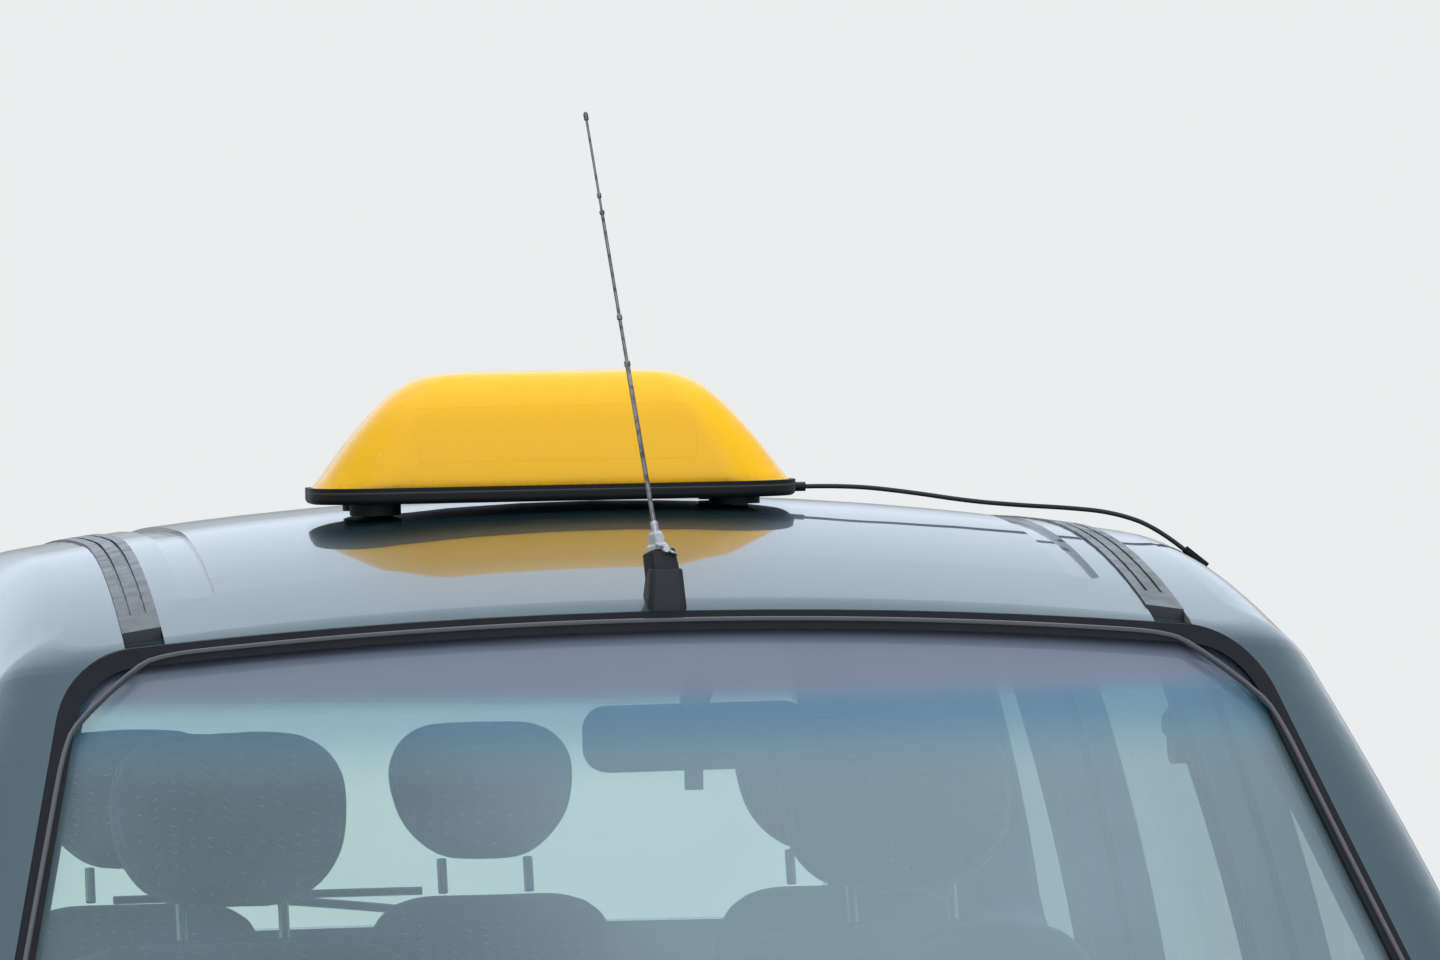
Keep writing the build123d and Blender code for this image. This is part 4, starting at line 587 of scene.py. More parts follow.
def boot_block(width, depth, height, corner, matrix, taper):
    """A rubber block with round corners, drawn in towards its top. Returns its lowest points."""
    known = set(aerial.verts)
    plate = rounded_plate(aerial, width, depth, height, corner, Matrix())
    lid = max({face for vert in plate for face in vert.link_faces}, key=lambda face: face.calc_center_median().z)
    bmesh.ops.inset_region(aerial, faces=[lid], thickness=0.0015)
    bmesh.ops.translate(aerial, verts=lid.verts, vec=(0, 0, 0.0015))
    block = [vert for vert in aerial.verts if vert not in known]
    lowest = [vert for vert in block if vert.co.z < 1e-5]
    for vert in set(block) - set(lowest):
        vert.co.x *= taper
        vert.co.y *= taper
    bmesh.ops.transform(aerial, matrix=matrix, verts=block)
    return lowest


foot_low = boot_block(0.039, 0.050, 0.024, 0.008, Matrix.Translation(AERIAL_FOOT), 0.84)
for vert in foot_low:
    vert.co.z = surface_point("roof_panel", (vert.co.x, vert.co.y, 2.0), (0, 0, -1)).z
leaning = Matrix.Translation(AERIAL_FOOT + Vector((0, 0.004, 0.010)))
leaning = leaning @ rotation("X", AERIAL_LEAN_BACK) @ rotation("Y", AERIAL_LEAN_SIDE)
turned = rotation("Z", 14)
boot_block(0.029, 0.030, 0.022, 0.005, leaning @ Matrix.Translation((0, 0, 0.010)) @ turned, 0.93)
turn_profile(aerial, CLAMP_PROFILE, 6, leaning @ turned, 1)
turn_profile(aerial, COLLAR_PROFILE, 20, leaning, 1)
turn_profile(aerial, MAST_PROFILE, 14, leaning, 2)
wing_hub = leaning @ Matrix.Translation((0.006, -0.006, 0.034)) @ rotation("X", 100)
turn_profile(aerial, ((0.0045, 0.0), (0.0045, 0.010), (0.0030, 0.0115)), 14, wing_hub, 1)
for tilt in (-35, 145):
    ear = wing_hub @ rotation("Z", tilt) @ Matrix.Translation((0.008, 0, 0.008)) @ rotation("X", 90)
    turn_profile(aerial, ((0.0050, -0.0010), (0.0055, 0.0), (0.0050, 0.0010)), 14, ear, 1)
antenna = mesh_object("aerial", aerial, boot_rubber, collar_steel, mast_steel, smooth=38)
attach(antenna, "root")
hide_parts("antenna")


# Seat covers
# Foam pads in dark woven cloth with pale dashes. Each cover is sewn from panels, so narrow channels run
# round its front and down its bolsters, and the foam swells between them.
WEAVE_DARK = (0.030, 0.033, 0.038)
WEAVE_LIGHT = (0.060, 0.066, 0.074)
WEAVE_DASH = (0.33, 0.35, 0.36)
SEAT_LEAN = math.radians(20)
PAD_PRESSURE = 4.0
PAD_SHRINK = 0.004
PAD_TRAVEL = 0.006
PAD_FRAMES = 14
SEAM_DEPTH = 0.004
SEAM_WIDTH = 0.006

woven = Paint("woven seat cloth", roughness=0.9, sheen_weight=0.35, sheen_roughness=0.5)
x, y, z = woven.axes()
slip = woven.noise(1.0, 0, stretch=(52, 0.01, 0.01)) * 3.0
along = (z * 78 + y * 78 + x * 20 + slip) % 1
from_middle = abs((x * 52) % 1 - 0.5)
dash = (along < 0.11) * (from_middle < 0.17) * woven.patches(75, 1, 0.42, 0.56)
weave = woven.node(
    "ShaderNodeTexWave",
    {"wave_type": "BANDS", "bands_direction": "DIAGONAL"},
    {"Vector": woven.place, "Scale": 420, "Distortion": 0.6},
    output=1,
)
cloth_shade = woven.mix(woven.noise(2.5, 3) * 0.5 + weave * 0.25, WEAVE_DARK, WEAVE_LIGHT)
woven.set(base_color=woven.mix(dash * 0.5, cloth_shade, WEAVE_DASH))
woven.bump(weave * 0.6 + dash * 0.5, 0.0006, 0.6)


def loose_solids(node_name):
    """The separate solids of a CAD node, each as a merged bmesh, from the lowest X to the highest."""
    whole = bmesh.new()
    whole.from_mesh(nodes[node_name].data)
    bmesh.ops.remove_doubles(whole, verts=whole.verts, dist=2e-5)
    grouped = set()
    solids = []
    for start in whole.verts:
        group = set() if start in grouped else {start}
        border = list(group)
        while border:
            for edge in border.pop().link_edges:
                fresh = [vert for vert in edge.verts if vert not in group]
                group.update(fresh)
                border += fresh
        if group:
            solids.append(group)
            grouped |= group
    pieces = []
    for group in sorted(solids, key=lambda group: min(vert.co.x for vert in group)):
        piece = bmesh.new()
        copies = {vert: piece.verts.new(vert.co) for vert in whole.verts if vert in group}
        for face in whole.faces:
            if face.verts[0] in group:
                piece.faces.new([copies[vert] for vert in face.verts])
        pieces.append(piece)
    whole.free()
    return pieces


def bake(thing):
    """Gives an object the mesh that its modifiers make, and drops the modifiers."""
    shape = thing.evaluated_get(bpy.context.evaluated_depsgraph_get())
    done = bpy.data.meshes.new_from_object(shape)
    old = thing.data
    thing.modifiers.clear()
    thing.data = done
    bpy.data.meshes.remove(old)
    for polygon in done.polygons:
        polygon.use_smooth = True


def sewn_pad(name, form, voxel, foot, seams, replaced):
    """A cover over one CAD pad: remeshed, blown up by the cloth, then drawn in along its seams.

    foot is the pad's own origin, from which seams measures along X, up the lean and rearwards.
    """
    pad = mesh_object(name, form, woven)
    remesh = pad.modifiers.new("even", "REMESH")
    remesh.mode = "VOXEL"
    remesh.voxel_size = voxel
    bake(pad)
    smooth = pad.modifiers.new("smooth", "SMOOTH")
    smooth.iterations = 2
    bake(pad)
    for vert, normal in [(v, v.normal.copy()) for v in pad.data.vertices]:
        vert.co -= normal * PAD_SHRINK
    start = [vert.co.copy() for vert in pad.data.vertices]
    cloth = pad.modifiers.new("cloth", "CLOTH")
    cloth.settings.mass = 0.4
    cloth.settings.tension_stiffness = 12
    cloth.settings.compression_stiffness = 12
    cloth.settings.bending_stiffness = 0.6
    cloth.settings.use_pressure = True
    cloth.settings.uniform_pressure_force = PAD_PRESSURE
    cloth.settings.effector_weights.gravity = 0
    cloth.point_cache.frame_end = PAD_FRAMES
    for step in range(1, PAD_FRAMES + 1):
        bpy.context.scene.frame_set(step)
    bake(pad)
    bpy.context.scene.frame_set(1)
    for vert, normal, before in [(v, v.normal.copy(), b) for v, b in zip(pad.data.vertices, start)]:
        moved = vert.co - before
        if moved.length > PAD_TRAVEL:
            vert.co = before + moved * (PAD_TRAVEL / moved.length)
        out = vert.co - foot
        up = out.y * math.sin(SEAT_LEAN) + out.z * math.cos(SEAT_LEAN)
        back = out.y * math.cos(SEAT_LEAN) - out.z * math.sin(SEAT_LEAN)
        away = seams(out.x, up, back)
        vert.co -= normal * (SEAM_DEPTH * math.exp(-((away / SEAM_WIDTH) ** 2)))
    finer = pad.modifiers.new("finer", "SUBSURF")
    finer.levels = finer.render_levels = 1
    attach(pad, "root")
    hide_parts(replaced)
    return pad


def rest_seams(across, up, back):
    """A head restraint's front panel is sewn to its gusset, and the gusset to its back."""
    return min(abs(back - 0.026), abs(back - 0.078))


def back_seams(across, up, back):
    """A backrest's bolsters, the line below the shoulders, and the gusset round the edge."""
    bolster = abs(abs(across) - 0.145) if back < 0.05 else 1.0
    shoulder = abs(up - 0.47) if back < 0.05 and abs(across) < 0.145 else 1.0
    return min(bolster, shoulder, abs(back - 0.060))


def cushion_seams(across, up, back):
    """A front cushion's bolsters, and one line across the middle."""
    return min(abs(abs(across) - 0.150), abs(back + 0.24) if abs(across) < 0.150 else 1.0)


def draw_in(form, centre, share):
    """Narrows a head restraint towards its foot, as a balloon is drawn in at its neck."""
    lowest = min(vert.co.z for vert in form.verts)
    highest = max(vert.co.z for vert in form.verts)
    bmesh.ops.subdivide_edges(
        form, edges=[edge for edge in form.edges if edge.calc_length() > 0.02], cuts=3, use_grid_fill=True
    )
    for vert in form.verts:
        up = (vert.co.z - lowest) / (highest - lowest)
        narrow = 1 - share * max(0.0, 1 - up / 0.62) ** 1.6
        vert.co.x = centre.x + (vert.co.x - centre.x) * narrow


FRONT_FOOT = (0.060, 0.560)
REAR_FOOT = (0.904, 0.449)
REAR_ROW = 0.6
SEAT_PLACES = ((-0.422, REAR_FOOT), (-0.370, FRONT_FOOT), (0.0, REAR_FOOT), (0.370, FRONT_FOOT), (0.422, REAR_FOOT))
for node_name, voxel, seams, fill in (
    ("headrests", 0.007, rest_seams, 0.9),
    ("seat_backs", 0.013, back_seams, 0.8),
):
    forms = loose_solids(node_name)
    for form in forms:
        centre = sum((v.co for v in form.verts), Vector()) / len(form.verts)
        behind = centre.y > REAR_ROW
        if node_name == "headrests":
            draw_in(form, centre, 0.30 if behind else 0.14)
        rows = [place for place in SEAT_PLACES if (place[1] == REAR_FOOT) == behind]
        place_x, (foot_y, foot_z) = min(rows, key=lambda place: abs(place[0] - centre.x))
        side = "left" if place_x > 0.1 else "right" if place_x < -0.1 else "middle"
        pad_name = f"{'rear' if behind else 'front'}_{node_name[:-1]}_cover_{side}"
        sewn_pad(pad_name, form, voxel, Vector((place_x, foot_y, foot_z)), seams, node_name)
for form in loose_solids("seat_cushions"):
    centre = sum((v.co for v in form.verts), Vector()) / len(form.verts)
    side = "bench" if abs(centre.x) < 0.1 else "left" if centre.x > 0 else "right"
    foot_x = 0.0 if side == "bench" else math.copysign(0.370, centre.x)
    sewn_pad(
        f"seat_cushion_{side}", form, 0.014, Vector((foot_x, 0.0, 0.5)), cushion_seams, "seat_cushions"
    )


# Seat frames
# Black enamelled rails and pans, and bright round posts that carry the head restraints.
FRAME_BLACK = (0.018, 0.018, 0.019)
CHROME = (0.52, 0.53, 0.54)

frame_enamel = Paint("frame enamel", base_color=FRAME_BLACK)
above_backs = frame_enamel.band(frame_enamel.axes()[2], 1.10, 1.11)
frame_enamel.set(
    base_color=frame_enamel.mix(above_backs, FRAME_BLACK, CHROME),
    metallic=above_backs,
    roughness=0.45 - above_backs * 0.28,
)
repaint(frame_enamel, "seat_frames")


# Black and grey plastics
# Grained polypropylene: the cowl and wipers under the screen, the grille, the dashboard and steering wheel,
# and the interior mirror's case. Sun and dust leave the outside pieces greyer in patches.
def grained(name, colour, roughness, grain=650, weathered=0.0):
    """Moulded plastic with a fine leather grain and, outdoors, a pale bloom in patches."""
    paint = Paint(name)
    bloom = paint.patches(14, 6, 0.40, 0.80) * weathered
    paint.set(
        base_color=paint.mix(bloom, colour, tuple(0.55 * c + 0.11 for c in colour)),
        roughness=roughness + bloom * 0.25,
    )
    cells = paint.node("ShaderNodeTexVoronoi", None, {"Vector": paint.place, "Scale": grain})
    paint.bump(cells, 0.0003, 0.45)
    return paint


outdoor_black = grained("outdoor black plastic", (0.016, 0.016, 0.017), 0.46, 650, 0.6)
cabin_grey = grained("cabin plastic", (0.045, 0.047, 0.052), 0.55)
rim_grip = grained("steering wheel grip", (0.020, 0.020, 0.022), 0.38, 900)
repaint(outdoor_black, "cowl", "front_wipers", "grille")
repaint(cabin_grey, "dashboard", "interior_mirror")
repaint(rim_grip, "steering_wheel")


# Underbody, axles and engine
# Stone guard in dark grey over welded steel, road dust on everything low down, enamelled suspension arms
# and a dull cast engine block. The exhaust has browned in patches.
def road_worn(name, colour, dirt, roughness, metallic=0.0, scale=14):
    """A finish under patches of dried road dirt."""
    paint = Paint(name)
    soiled = paint.patches(scale, 7, 0.35, 0.72)
    paint.set(
        base_color=paint.mix(soiled * 0.7, colour, dirt),
        roughness=roughness + soiled * (0.9 - roughness),
        metallic=metallic - soiled * metallic,
    )
    paint.bump(paint.noise(260, 5), 0.0008, 0.6)
    return paint


stone_guard = road_worn("stone guard", (0.045, 0.046, 0.048), (0.17, 0.155, 0.13), 0.75)
axle_enamel = road_worn("axle enamel", (0.020, 0.020, 0.021), (0.15, 0.13, 0.105), 0.4)
engine_casting = road_worn("engine casting", (0.30, 0.30, 0.30), (0.10, 0.09, 0.08), 0.45, 0.9)
browned_pipe = road_worn("browned pipe", (0.36, 0.33, 0.30), (0.16, 0.09, 0.055), 0.35, 0.95, 9)
repaint(stone_guard, "bulkhead", "floor_pan", "front_structure", "arch_liners")
repaint(axle_enamel, "lower_arms", "rear_axle", "knuckle_left", "knuckle_right")
repaint(engine_casting, "engine")
repaint(browned_pipe, "exhaust")


# Wheels and tyres
# Road tyres with three long grooves and cross cuts to the shoulders, the cuts painted near-black as painted shade,
# ribbed walls, and pressed steel wheels in silver paint with patches of brake dust.
WHEEL_CENTRES = (("front", -1.285), ("rear", 1.295))
HUB_HEIGHT = 0.310
HALF_TRACK = 0.730
TREAD_CUTS = 74

wheel_silver = Paint("wheel silver", metallic=0.75, coat_weight=0.4)
brake_dust = wheel_silver.patches(30, 6, 0.35, 0.75)
wheel_silver.set(
    base_color=wheel_silver.mix(brake_dust * 0.7, (0.42, 0.43, 0.44), (0.11, 0.095, 0.085)),
    roughness=0.32 + brake_dust * 0.35,
)
for end, hub_y in WHEEL_CENTRES:
    tread = Paint(f"{end} tyre rubber")
    x, y, z = tread.axes()
    dy, dz = y - hub_y, z - HUB_HEIGHT
    radius = tread.node("ShaderNodeMath", {"operation": "SQRT"}, {0: dy * dy + dz * dz})
    angle = tread.node("ShaderNodeMath", {"operation": "ARCTAN2"}, {0: dz, 1: dy})
    sideways = abs(x) - HALF_TRACK
    slant = angle * (TREAD_CUTS / math.tau) + abs(sideways) * 9
    sipe = abs(slant % 1 - 0.5)
    on_tread = tread.band(radius, 0.296, 0.303)
    cut = (sipe > 0.44) * on_tread * (abs(sideways) > 0.012)
    ribs = abs((radius * 260) % 1 - 0.5) * (1 - on_tread) * tread.band(radius, 0.215, 0.225)
    dried = tread.patches(22, 6, 0.35, 0.75)
    rubber = tread.mix(dried * 0.45, (0.018, 0.018, 0.019), (0.12, 0.11, 0.10))
    # The cuts are painted near-black, darker than the rubber: painted shade in the tread's cuts.
    tread.set(base_color=tread.mix(cut * 0.7, rubber, (0.004, 0.004, 0.004)), roughness=0.62 + dried * 0.25)
    tread.bump(0.5 - cut + ribs * 0.25, 0.004, 0.8)
    for side in ("left", "right"):
        repaint(tread, f"tyre_{end}_{side}")
        repaint(wheel_silver, f"wheel_{end}_{side}")


# Wheel trims
# Each steel wheel has five bright domed nuts, a black hub cap pressed into its bore and a rubber valve.
nut_steel = Paint("nut steel", base_color=(0.50, 0.50, 0.49), metallic=1.0)
nut_steel.set(roughness=0.25 + nut_steel.noise(90, 5) * 0.3)
cap_black = grained("hub cap black", (0.014, 0.014, 0.015), 0.4)
SIDES = (("left", 1), ("right", -1))
NUT_CIRCLE = 0.054
NUT_PARTS = ((6, 0.0115, 0.0115, 0.0105, -0.00325), (18, 0.0092, 0.0045, 0.006, 0.0049))
CAP_PROFILE = ((0.027, -0.004), (0.027, 0.008), (0.0245, 0.012), (0.012, 0.0145))
VALVE_PROFILE = ((0.0045, -0.02), (0.0045, 0.010), (0.003, 0.012), (0.003, 0.022))
VALVE_HEIGHT = HUB_HEIGHT - 0.176

for end, hub_y in WHEEL_CENTRES:
    for side, sign in SIDES:
        wheel_node = f"wheel_{end}_{side}"
        trims = bmesh.new()
        outward = rotation("Y", 90 * sign)
        for step in range(5):
            angle = math.radians(72 * step)
            at_y = hub_y + NUT_CIRCLE * math.cos(angle)
            at_z = HUB_HEIGHT + NUT_CIRCLE * math.sin(angle)
            seat = surface_point(wheel_node, (sign * 1.2, at_y, at_z), (-sign, 0, 0))
            where = Matrix.Translation((seat.x, at_y, at_z)) @ outward
            for segments, wide, narrow, depth, off in NUT_PARTS:
                bmesh.ops.create_cone(
                    trims, cap_ends=True, segments=segments, radius1=wide, radius2=narrow, depth=depth,
                    matrix=where @ Matrix.Translation((0, 0, off)),
                )
        rim_seat = surface_point(wheel_node, (sign * 1.2, hub_y, HUB_HEIGHT + 0.040), (-sign, 0, 0))
        turn_profile(trims, CAP_PROFILE, 28, Matrix.Translation((rim_seat.x, hub_y, HUB_HEIGHT)) @ outward, 1)
        valve_seat = surface_point(wheel_node, (sign * 1.2, hub_y, VALVE_HEIGHT), (-sign, 0, 0))
        turn_profile(trims, VALVE_PROFILE, 12, Matrix.Translation((valve_seat.x, hub_y, VALVE_HEIGHT)) @ outward, 1)
        trim = mesh_object(f"wheel_trim_{end}_{side}", trims, nut_steel, cap_black, smooth=40)
        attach(trim, wheel_node)


# Lamps
# Clear polycarbonate headlamps over bright bowls, with halogen bulbs and an amber indicator bulb. The tail
# lamps are red over amber and clear, with fine crossed prisms moulded inside.
bowl_bright = Paint("lamp bowl", base_color=(0.78, 0.78, 0.79), metallic=1.0, roughness=0.12)
bowl_bright.bump(abs((bowl_bright.axes()[0] * 120) % 1 - 0.5), 0.0006, 0.35)
repaint(bowl_bright, "headlamp_bowls")
# The headlamp covers carry a very faint painted sky reflection.
lamp_cover = pane_paint("lamp cover", (0.96, 0.97, 0.97), painted_sky_share=0.01)
repaint(lamp_cover, "headlamp_lenses")

AMBER_BAND = (0.800, 0.880)
CLEAR_BAND = (0.740, 0.797)
tail_plastic = Paint("tail lamp plastic", roughness=0.10, coat_weight=0.5, subsurface_weight=0.1)
x, y, z = tail_plastic.axes()
PRISM_RATE = 90
amber_share = (z > AMBER_BAND[0]) * (z < AMBER_BAND[1])
clear_share = (z > CLEAR_BAND[0]) * (z < CLEAR_BAND[1])
lit = tail_plastic.mix(amber_share, (0.42, 0.012, 0.010), (0.80, 0.22, 0.010))
lit = tail_plastic.mix(clear_share, lit, (0.70, 0.70, 0.70))
prism = abs(((x + y) * PRISM_RATE) % 1 - 0.5)
pillow = abs((z * PRISM_RATE) % 1 - 0.5)
tail_plastic.set(base_color=tail_plastic.mix((prism + pillow) * 0.25, lit, (0.10, 0.02, 0.02)))
tail_plastic.bump(prism + pillow, 0.0012, 0.35)
repaint(tail_plastic, "tail_lamps")

bulb_glass = Paint("bulb glass", base_color=(0.86, 0.88, 0.90), roughness=0.05, metallic=0.3)
amber_glass = Paint("amber bulb", base_color=(0.85, 0.28, 0.01), roughness=0.08)
socket_metal = Paint("bulb socket", base_color=(0.25, 0.25, 0.26), metallic=1.0, roughness=0.4)
BULBS = ((0.690, 0.640, 0.0070, 0), (0.565, 0.637, 0.0070, 0), (0.757, 0.638, 0.0060, 1))
BULB_PROFILE = ((1.0, 0.25), (1.0, 0.40), (0.9, 0.75), (0.55, 0.92), (0.15, 1.0))
BASE_PROFILE = ((1.5, -0.15), (1.5, 0.14), (1.1, 0.26))
for side, sign in SIDES:
    bulbs = bmesh.new()
    for bulb_x, bulb_z, bulb_radius, kind in BULBS:
        bowl = surface_point("headlamp_bowls", (sign * bulb_x, -2.3, bulb_z), (0, 1, 0))
        cover = surface_point("headlamp_lenses", (sign * bulb_x, bowl.y, bulb_z), (0, -1, 0))
        length = (bowl.y - cover.y) * 0.72
        forwards = Matrix.Translation(bowl) @ rotation("X", 90)
        for profile, paint_index in ((BULB_PROFILE, kind), (BASE_PROFILE, 2)):
            turn_profile(bulbs, [(r * bulb_radius, h * length) for r, h in profile], 20, forwards, paint_index)
    bulb_set = mesh_object(f"headlamp_bulbs_{side}", bulbs, bulb_glass, amber_glass, socket_metal, smooth=40)
    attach(bulb_set, "root")


# Mirrors
# Silvered glass in the door mirrors' wells, with a fine black edge, and on the interior mirror's rear face.
silvered = Paint("silvered glass", base_color=(0.86, 0.88, 0.88), metallic=1.0, roughness=0.015)
edge_black = Paint("mirror edge", base_color=(0.012, 0.012, 0.012), roughness=0.4)
DOOR_MIRROR = Vector((0.915, -0.735, 1.040))
facing_back = rotation("X", -90)
for side, sign in SIDES:
    glass = bmesh.new()
    at = Vector((sign * DOOR_MIRROR.x, DOOR_MIRROR.y - 0.0065, DOOR_MIRROR.z))
    behind = at - Vector((0, 0.0004, 0))
    rounded_plate(glass, 0.160, 0.104, 0.003, 0.032, Matrix.Translation(at) @ facing_back)
    rounded_plate(glass, 0.164, 0.108, 0.002, 0.034, Matrix.Translation(behind) @ facing_back, 1)
    mirror = mesh_object(f"door_mirror_glass_{side}", glass, silvered, edge_black)
    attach(mirror, f"door_front_{side}")

# The interior mirror's pane lies on the face that looks back into the cabin.
rear_face = surface_point("interior_mirror", (0.025, -0.3, 1.391), (0, -1, 0))
pane = bmesh.new()
rounded_plate(pane, 0.212, 0.052, 0.0015, 0.020, Matrix.Translation(rear_face) @ rotation("Z", 8) @ facing_back)
cabin_mirror = mesh_object("interior_mirror_pane", pane, silvered)
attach(cabin_mirror, "root")


# Dashboard details
# Slatted vents in their recesses, a pair of dials with plain ticks and red needles under the hood, a radio
# and three heater knobs on the console, and the gear lever with its gaiter.
DIAL_CENTRES = ((0.312, 0.93), (0.428, 0.93))
DIAL_PLANE = -0.7735
CONSOLE_FACE = -0.731
VENT_PLACES = (-0.640, -0.075, 0.075)

dial_white = Paint("dial marks", base_color=(0.80, 0.80, 0.78), roughness=0.5)
dial_black = Paint("dial face", base_color=(0.010, 0.010, 0.011), roughness=0.3, coat_weight=0.6)
needle_red = Paint("needle red", base_color=(0.62, 0.05, 0.02), roughness=0.4)
trim_black = grained("vent and knob plastic", (0.014, 0.014, 0.015), 0.42, 900)
facias = bmesh.new()
for vent_x in VENT_PLACES:
    for row in range(5):
        slat = Matrix.Translation((vent_x, -0.770, 0.8185 + row * 0.0107)) @ rotation("X", -18)
        box(facias, slat, (0.116, 0.022, 0.0022), 3)
    box(facias, Matrix.Translation((vent_x, -0.7645, 0.840)), (0.004, 0.010, 0.050), 3)
for dial_x, dial_z in DIAL_CENTRES:
    dial_place = Matrix.Translation((dial_x, DIAL_PLANE, dial_z)) @ facing_back
    turn_profile(facias, ((0.040, -0.001), (0.040, 0.0006)), 40, dial_place, 1)
    for tick in range(25):
        long = 0.0065 if tick % 4 == 0 else 0.0035
        mark = rotation("Z", -135 + tick * 11.25) @ Matrix.Translation((0, 0.0365 - long / 2, 0.0008))
        box(facias, dial_place @ mark, (0.0009, long, 0.0004))
    needle = dial_place @ rotation("Z", 118) @ Matrix.Translation((0, 0.013, 0.0022))
    box(facias, needle, (0.0014, 0.034, 0.0008), 2)
    turn_profile(facias, ((0.006, 0.0), (0.006, 0.004), (0.004, 0.005)), 20, dial_place, 3)
radio_place = Matrix.Translation((0.0, CONSOLE_FACE, 0.765)) @ facing_back
rounded_plate(facias, 0.178, 0.050, 0.006, 0.004, radio_place, 3)
rounded_plate(facias, 0.090, 0.020, 0.0066, 0.002, radio_place @ Matrix.Translation((0, -0.008, 0)), 1)
for knob_x in (-0.076, 0.076):
    knob = radio_place @ Matrix.Translation((knob_x, 0, 0.005))
    turn_profile(facias, ((0.009, 0.0), (0.0085, 0.012), (0.007, 0.0135)), 24, knob, 3)
HEATER_KNOB = ((0.021, 0.0), (0.021, 0.003), (0.016, 0.004), (0.015, 0.018), (0.013, 0.020))
for knob_x in (-0.055, 0.0, 0.055):
    turn_profile(facias, HEATER_KNOB, 28, Matrix.Translation((knob_x, CONSOLE_FACE, 0.690)) @ facing_back, 3)
fittings = mesh_object("dashboard_fittings", facias, dial_white, dial_black, needle_red, trim_black, smooth=35)
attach(fittings, "root")

# The gear lever stands in a pleated gaiter on the floor ahead of the front seats.
LEVER_FOOT = Vector((0.0, -0.600, 0.2055))
gaiter_skin = grained("gaiter", (0.018, 0.018, 0.020), 0.6, 500)
bright_post = Paint("bright post", base_color=CHROME, metallic=1.0)
bright_post.set(roughness=0.16 + bright_post.noise(80, 5) * 0.12)
lever = bmesh.new()
gaiter = [(0.072 - 0.0066 * i + (0.004 if i % 2 else 0.0), 0.005 + 0.013 * i) for i in range(9)]
turn_profile(lever, [(0.090, 0.0), (0.088, 0.005)] + gaiter, 32, Matrix.Translation(LEVER_FOOT))
rod = Matrix.Translation(LEVER_FOOT + Vector((0, 0, 0.10))) @ rotation("X", 8)
turn_profile(lever, ((0.006, 0.0), (0.006, 0.23)), 16, rod, 1)
KNOB_PROFILE = ((0.010, 0.215), (0.019, 0.228), (0.024, 0.248), (0.022, 0.268), (0.013, 0.279))
turn_profile(lever, KNOB_PROFILE, 24, rod, 2)
gear_lever = mesh_object("gear_lever", lever, gaiter_skin, bright_post, trim_black, smooth=50)
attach(gear_lever, "root")


# Door furniture
# Outside, a black rub strip along each door and a wiping seal under each window. Inside, an armrest, a latch
# lever in its cup and a window winder.
DOORS = (
    ("door_front", -0.800, 0.095, -0.755, 0.050, -0.42, -0.30),
    ("door_rear", 0.165, 0.980, 0.205, 1.000, 0.50, 0.62),
)
RUB_HEIGHT = 0.560
RUB_WIDTH = 0.048
RUB_DEPTH = 0.007
SEAL_HEIGHT = 0.968


def laid_strip(name, node_name, start_y, end_y, height, width, depth, paint, sign, body):
    """A strip along a door, bent to its skin: a grid laid on by straight lines and given a thickness."""
    columns, rows = 60, 4
    strip = bmesh.new()
    bmesh.ops.create_grid(strip, x_segments=columns, y_segments=rows, size=0.5)
    missed = []
    for vert in strip.verts:
        along = start_y + (vert.co.x + 0.5) * (end_y - start_y)
        up = height + vert.co.y * width
        place = surface_point(node_name, (sign * 1.3, along, up), (-sign, 0, 0))
        if place:
            swell = depth * (1 - (2 * vert.co.y) ** 4) * min(1.0, 18 * (0.5 - abs(vert.co.x)))
            vert.co = place + Vector((sign * (0.0006 + swell), 0, 0))
        else:
            missed.append(vert)
    bmesh.ops.delete(strip, geom=missed, context="VERTS")
    made = mesh_object(name, strip, paint, smooth=50)
    thick = made.modifiers.new("back", "SOLIDIFY")
    thick.thickness = 0.0025
    thick.offset = -1 if sign > 0 else 1
    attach(made, body)
    return made


